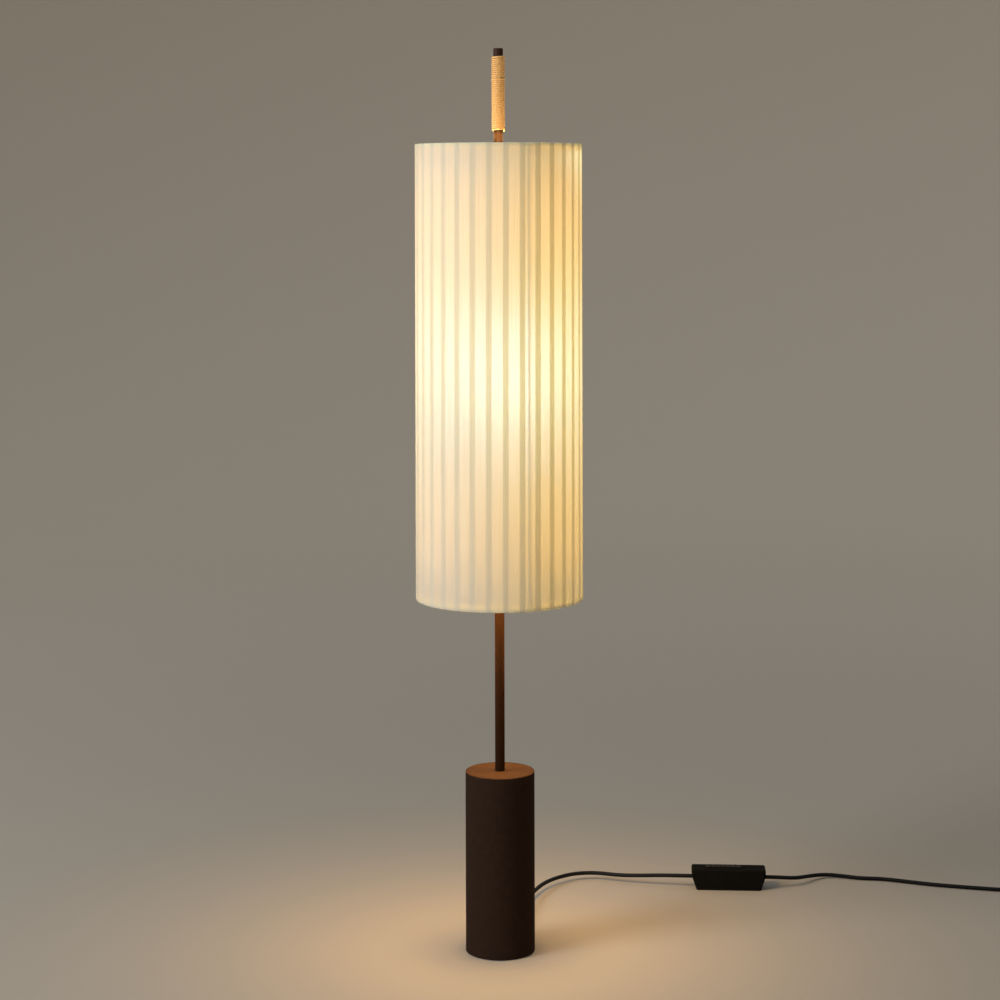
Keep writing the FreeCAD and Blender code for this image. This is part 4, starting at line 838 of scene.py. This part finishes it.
def make_stage():
    """Round paper sweep: a floor that curves up into a wall on all sides."""
    profile = [(STAGE_FIRST_RING, 0.0), (STAGE_RADIUS - STAGE_BEND, 0.0)]
    for step in range(1, STAGE_STEPS + 1):
        angle = math.pi / 2 * step / STAGE_STEPS
        radius = STAGE_RADIUS - STAGE_BEND * (1 - math.sin(angle))
        profile.append((radius, STAGE_BEND * (1 - math.cos(angle))))
    profile.append((STAGE_RADIUS, STAGE_HEIGHT))
    mesh = bmesh.new()
    centre = mesh.verts.new((0, 0, 0))
    turns = [2 * math.pi * side / STAGE_SIDES for side in range(STAGE_SIDES)]
    rings = [[mesh.verts.new((radius * math.cos(turn), radius * math.sin(turn), level)) for turn in turns]
             for radius, level in profile]
    pairs = [(side, (side + 1) % STAGE_SIDES) for side in range(STAGE_SIDES)]
    for side, other in pairs:
        mesh.faces.new([centre, rings[0][side], rings[0][other]])
    for inner, outer in zip(rings, rings[1:]):
        for side, other in pairs:
            mesh.faces.new([inner[side], outer[side], outer[other], inner[other]])
    for face in mesh.faces:
        face.smooth = True
    sweep = bpy.data.objects.new("stage_sweep", mesh_data("stage_sweep", mesh, stage_material()))
    bpy.context.collection.objects.link(sweep)


# Light

SKY_COLOR = (0.82, 0.88, 1.0)
SKY_STRENGTH = 0.55
SPOT_RADIUS = 0.004
SPOT_BLEND = 0.6
# The bulb's light after the ribbons have thrown it to and fro: whitest at the bulb, warmer at the ends
GLOW_LOW = 0.585
GLOW_HIGH = 1.115
GLOW_MIDDLE = 0.83
GLOW_WIDTH = 0.20
GLOW_STEPS = 8
GLOW_POWER = 0.124
GLOW_TILT = 0.25
GLOW_RADIUS = 0.04
# Each side's place in plan, its colour at the shade's ends and its colour at the bulb
GLOW_SIDES = {
    "left": ((-0.048, -0.028), (0.55, 0.355, 0.28), (0.53, 0.375, 0.26)),
    "right": ((0.040, -0.028), (0.76, 0.25, 0.0), (0.72, 0.48, 0.01)),
}
# The bulb's direct light, from the bulb's foot up
BULB_POWERS = (0.27, 0.36, 0.19)
BULB_COLOR = (0.34, 0.43, 1.0)
BULB_OFFSET = (0.010, -0.004)
BULB_SPACING = 0.07
BULB_CENTRE_STEP = 0.8
# Light that leaves the shade's open ends
SPILL_LOW = 0.525
SPILL_HIGH = 1.160
SPILL_SIZE = 0.19
SPILL_SPREAD = math.radians(150)
LID_SPOT_REACH = 0.030
POLE_SPOTS = 3
POLE_SPOT_REACH = 0.10
POLE_SPOT_LEVEL = 1.150
POLE_SPOT_AIM = 1.1800


def add_lamp(data, place, power, color, aim=None):
    data.energy = power
    data.color = color
    lamp = bpy.data.objects.new(data.name, data)
    lamp.location = place
    if aim is not None:
        lamp.rotation_euler = (Vector(aim) - Vector(place)).to_track_quat("-Z", "Y").to_euler()
    bpy.context.collection.objects.link(lamp)


def area_light(name, size, spread, **lamp):
    data = bpy.data.lights.new(name, "AREA")
    data.shape = "DISK"
    data.size = size
    data.spread = spread
    add_lamp(data, **lamp)


def spot_light(name, angle, **lamp):
    data = bpy.data.lights.new(name, "SPOT")
    data.shadow_soft_size = SPOT_RADIUS
    data.spot_size = angle
    data.spot_blend = SPOT_BLEND
    add_lamp(data, **lamp)


def bulb_light(name, **lamp):
    data = bpy.data.lights.new(name, "POINT")
    data.shadow_soft_size = GLOW_RADIUS
    add_lamp(data, **lamp)


def make_room_light():
    """An even sky and one large soft light from the front left."""
    world = bpy.data.worlds.new("world")
    world.use_nodes = True
    sky = world.node_tree.nodes["Background"]
    sky.inputs["Color"].default_value = (*SKY_COLOR, 1)
    sky.inputs["Strength"].default_value = SKY_STRENGTH
    bpy.context.scene.world = world
    area_light("key", size=2.0, spread=math.radians(120), place=(-3.2, -1.9, 2.5), aim=(0, 0, 0.7), power=74,
               color=(0.80, 0.86, 1.0))


def make_glow():
    """Light inside the shade."""
    for step in range(GLOW_STEPS):
        level = GLOW_LOW + (GLOW_HIGH - GLOW_LOW) * step / (GLOW_STEPS - 1)
        nearness = math.exp(-(((level - GLOW_MIDDLE) / GLOW_WIDTH) ** 2))
        power = GLOW_POWER * (1 + GLOW_TILT * (level - GLOW_MIDDLE))
        for side, (plan, at_ends, at_bulb) in GLOW_SIDES.items():
            bulb_light(f"glow_{side}_{step}", place=(*plan, level), power=power,
                       color=blend(at_ends, at_bulb, nearness))
    for step, power in enumerate(BULB_POWERS):
        place = BULB_CENTRE + Vector((*BULB_OFFSET, BULB_SPACING * (step - BULB_CENTRE_STEP)))
        bulb_light(f"bulb_{step}", place=place, power=power, color=BULB_COLOR)


def make_spill():
    """Light from the shade's ends on the floor, the base's lid, the bare pole and the grip."""
    area_light("spill_down", size=SPILL_SIZE, spread=SPILL_SPREAD, place=(0, 0, SPILL_LOW), aim=(0, 0, 0),
               power=3.1, color=(1.0, 0.60, 0.24))
    for side in (-1, 1):
        place = (LID_SPOT_REACH * side, 0, SPILL_LOW)
        spot_light(f"spill_on_base_{side + 1}", angle=math.radians(25), place=place, aim=(0, 0, BASE_TOP),
                   power=4.1, color=(1.0, 0.46, 0.02))
    area_light("spill_up", size=SPILL_SIZE, spread=SPILL_SPREAD, place=(0, 0, SPILL_HIGH), aim=(0, 0, 2),
               power=0.18, color=(1.0, 0.82, 0.50))
    for step in range(POLE_SPOTS):
        turn = math.pi * (2 * step / POLE_SPOTS - 0.5)
        place = (POLE_SPOT_REACH * math.cos(turn), POLE_SPOT_REACH * math.sin(turn), POLE_SPOT_LEVEL)
        spot_light(f"spill_on_pole_{step}", angle=math.radians(12), place=place, aim=(0, 0, POLE_SPOT_AIM),
                   power=9.4, color=(1.0, 0.72, 0.36))


make_camera()
make_stage()
make_lead()
make_ribbons()
make_grip()
finish_hard_pieces()
make_room_light()
make_glow()
make_spill()

bpy.context.scene.view_settings.view_transform = "Standard"
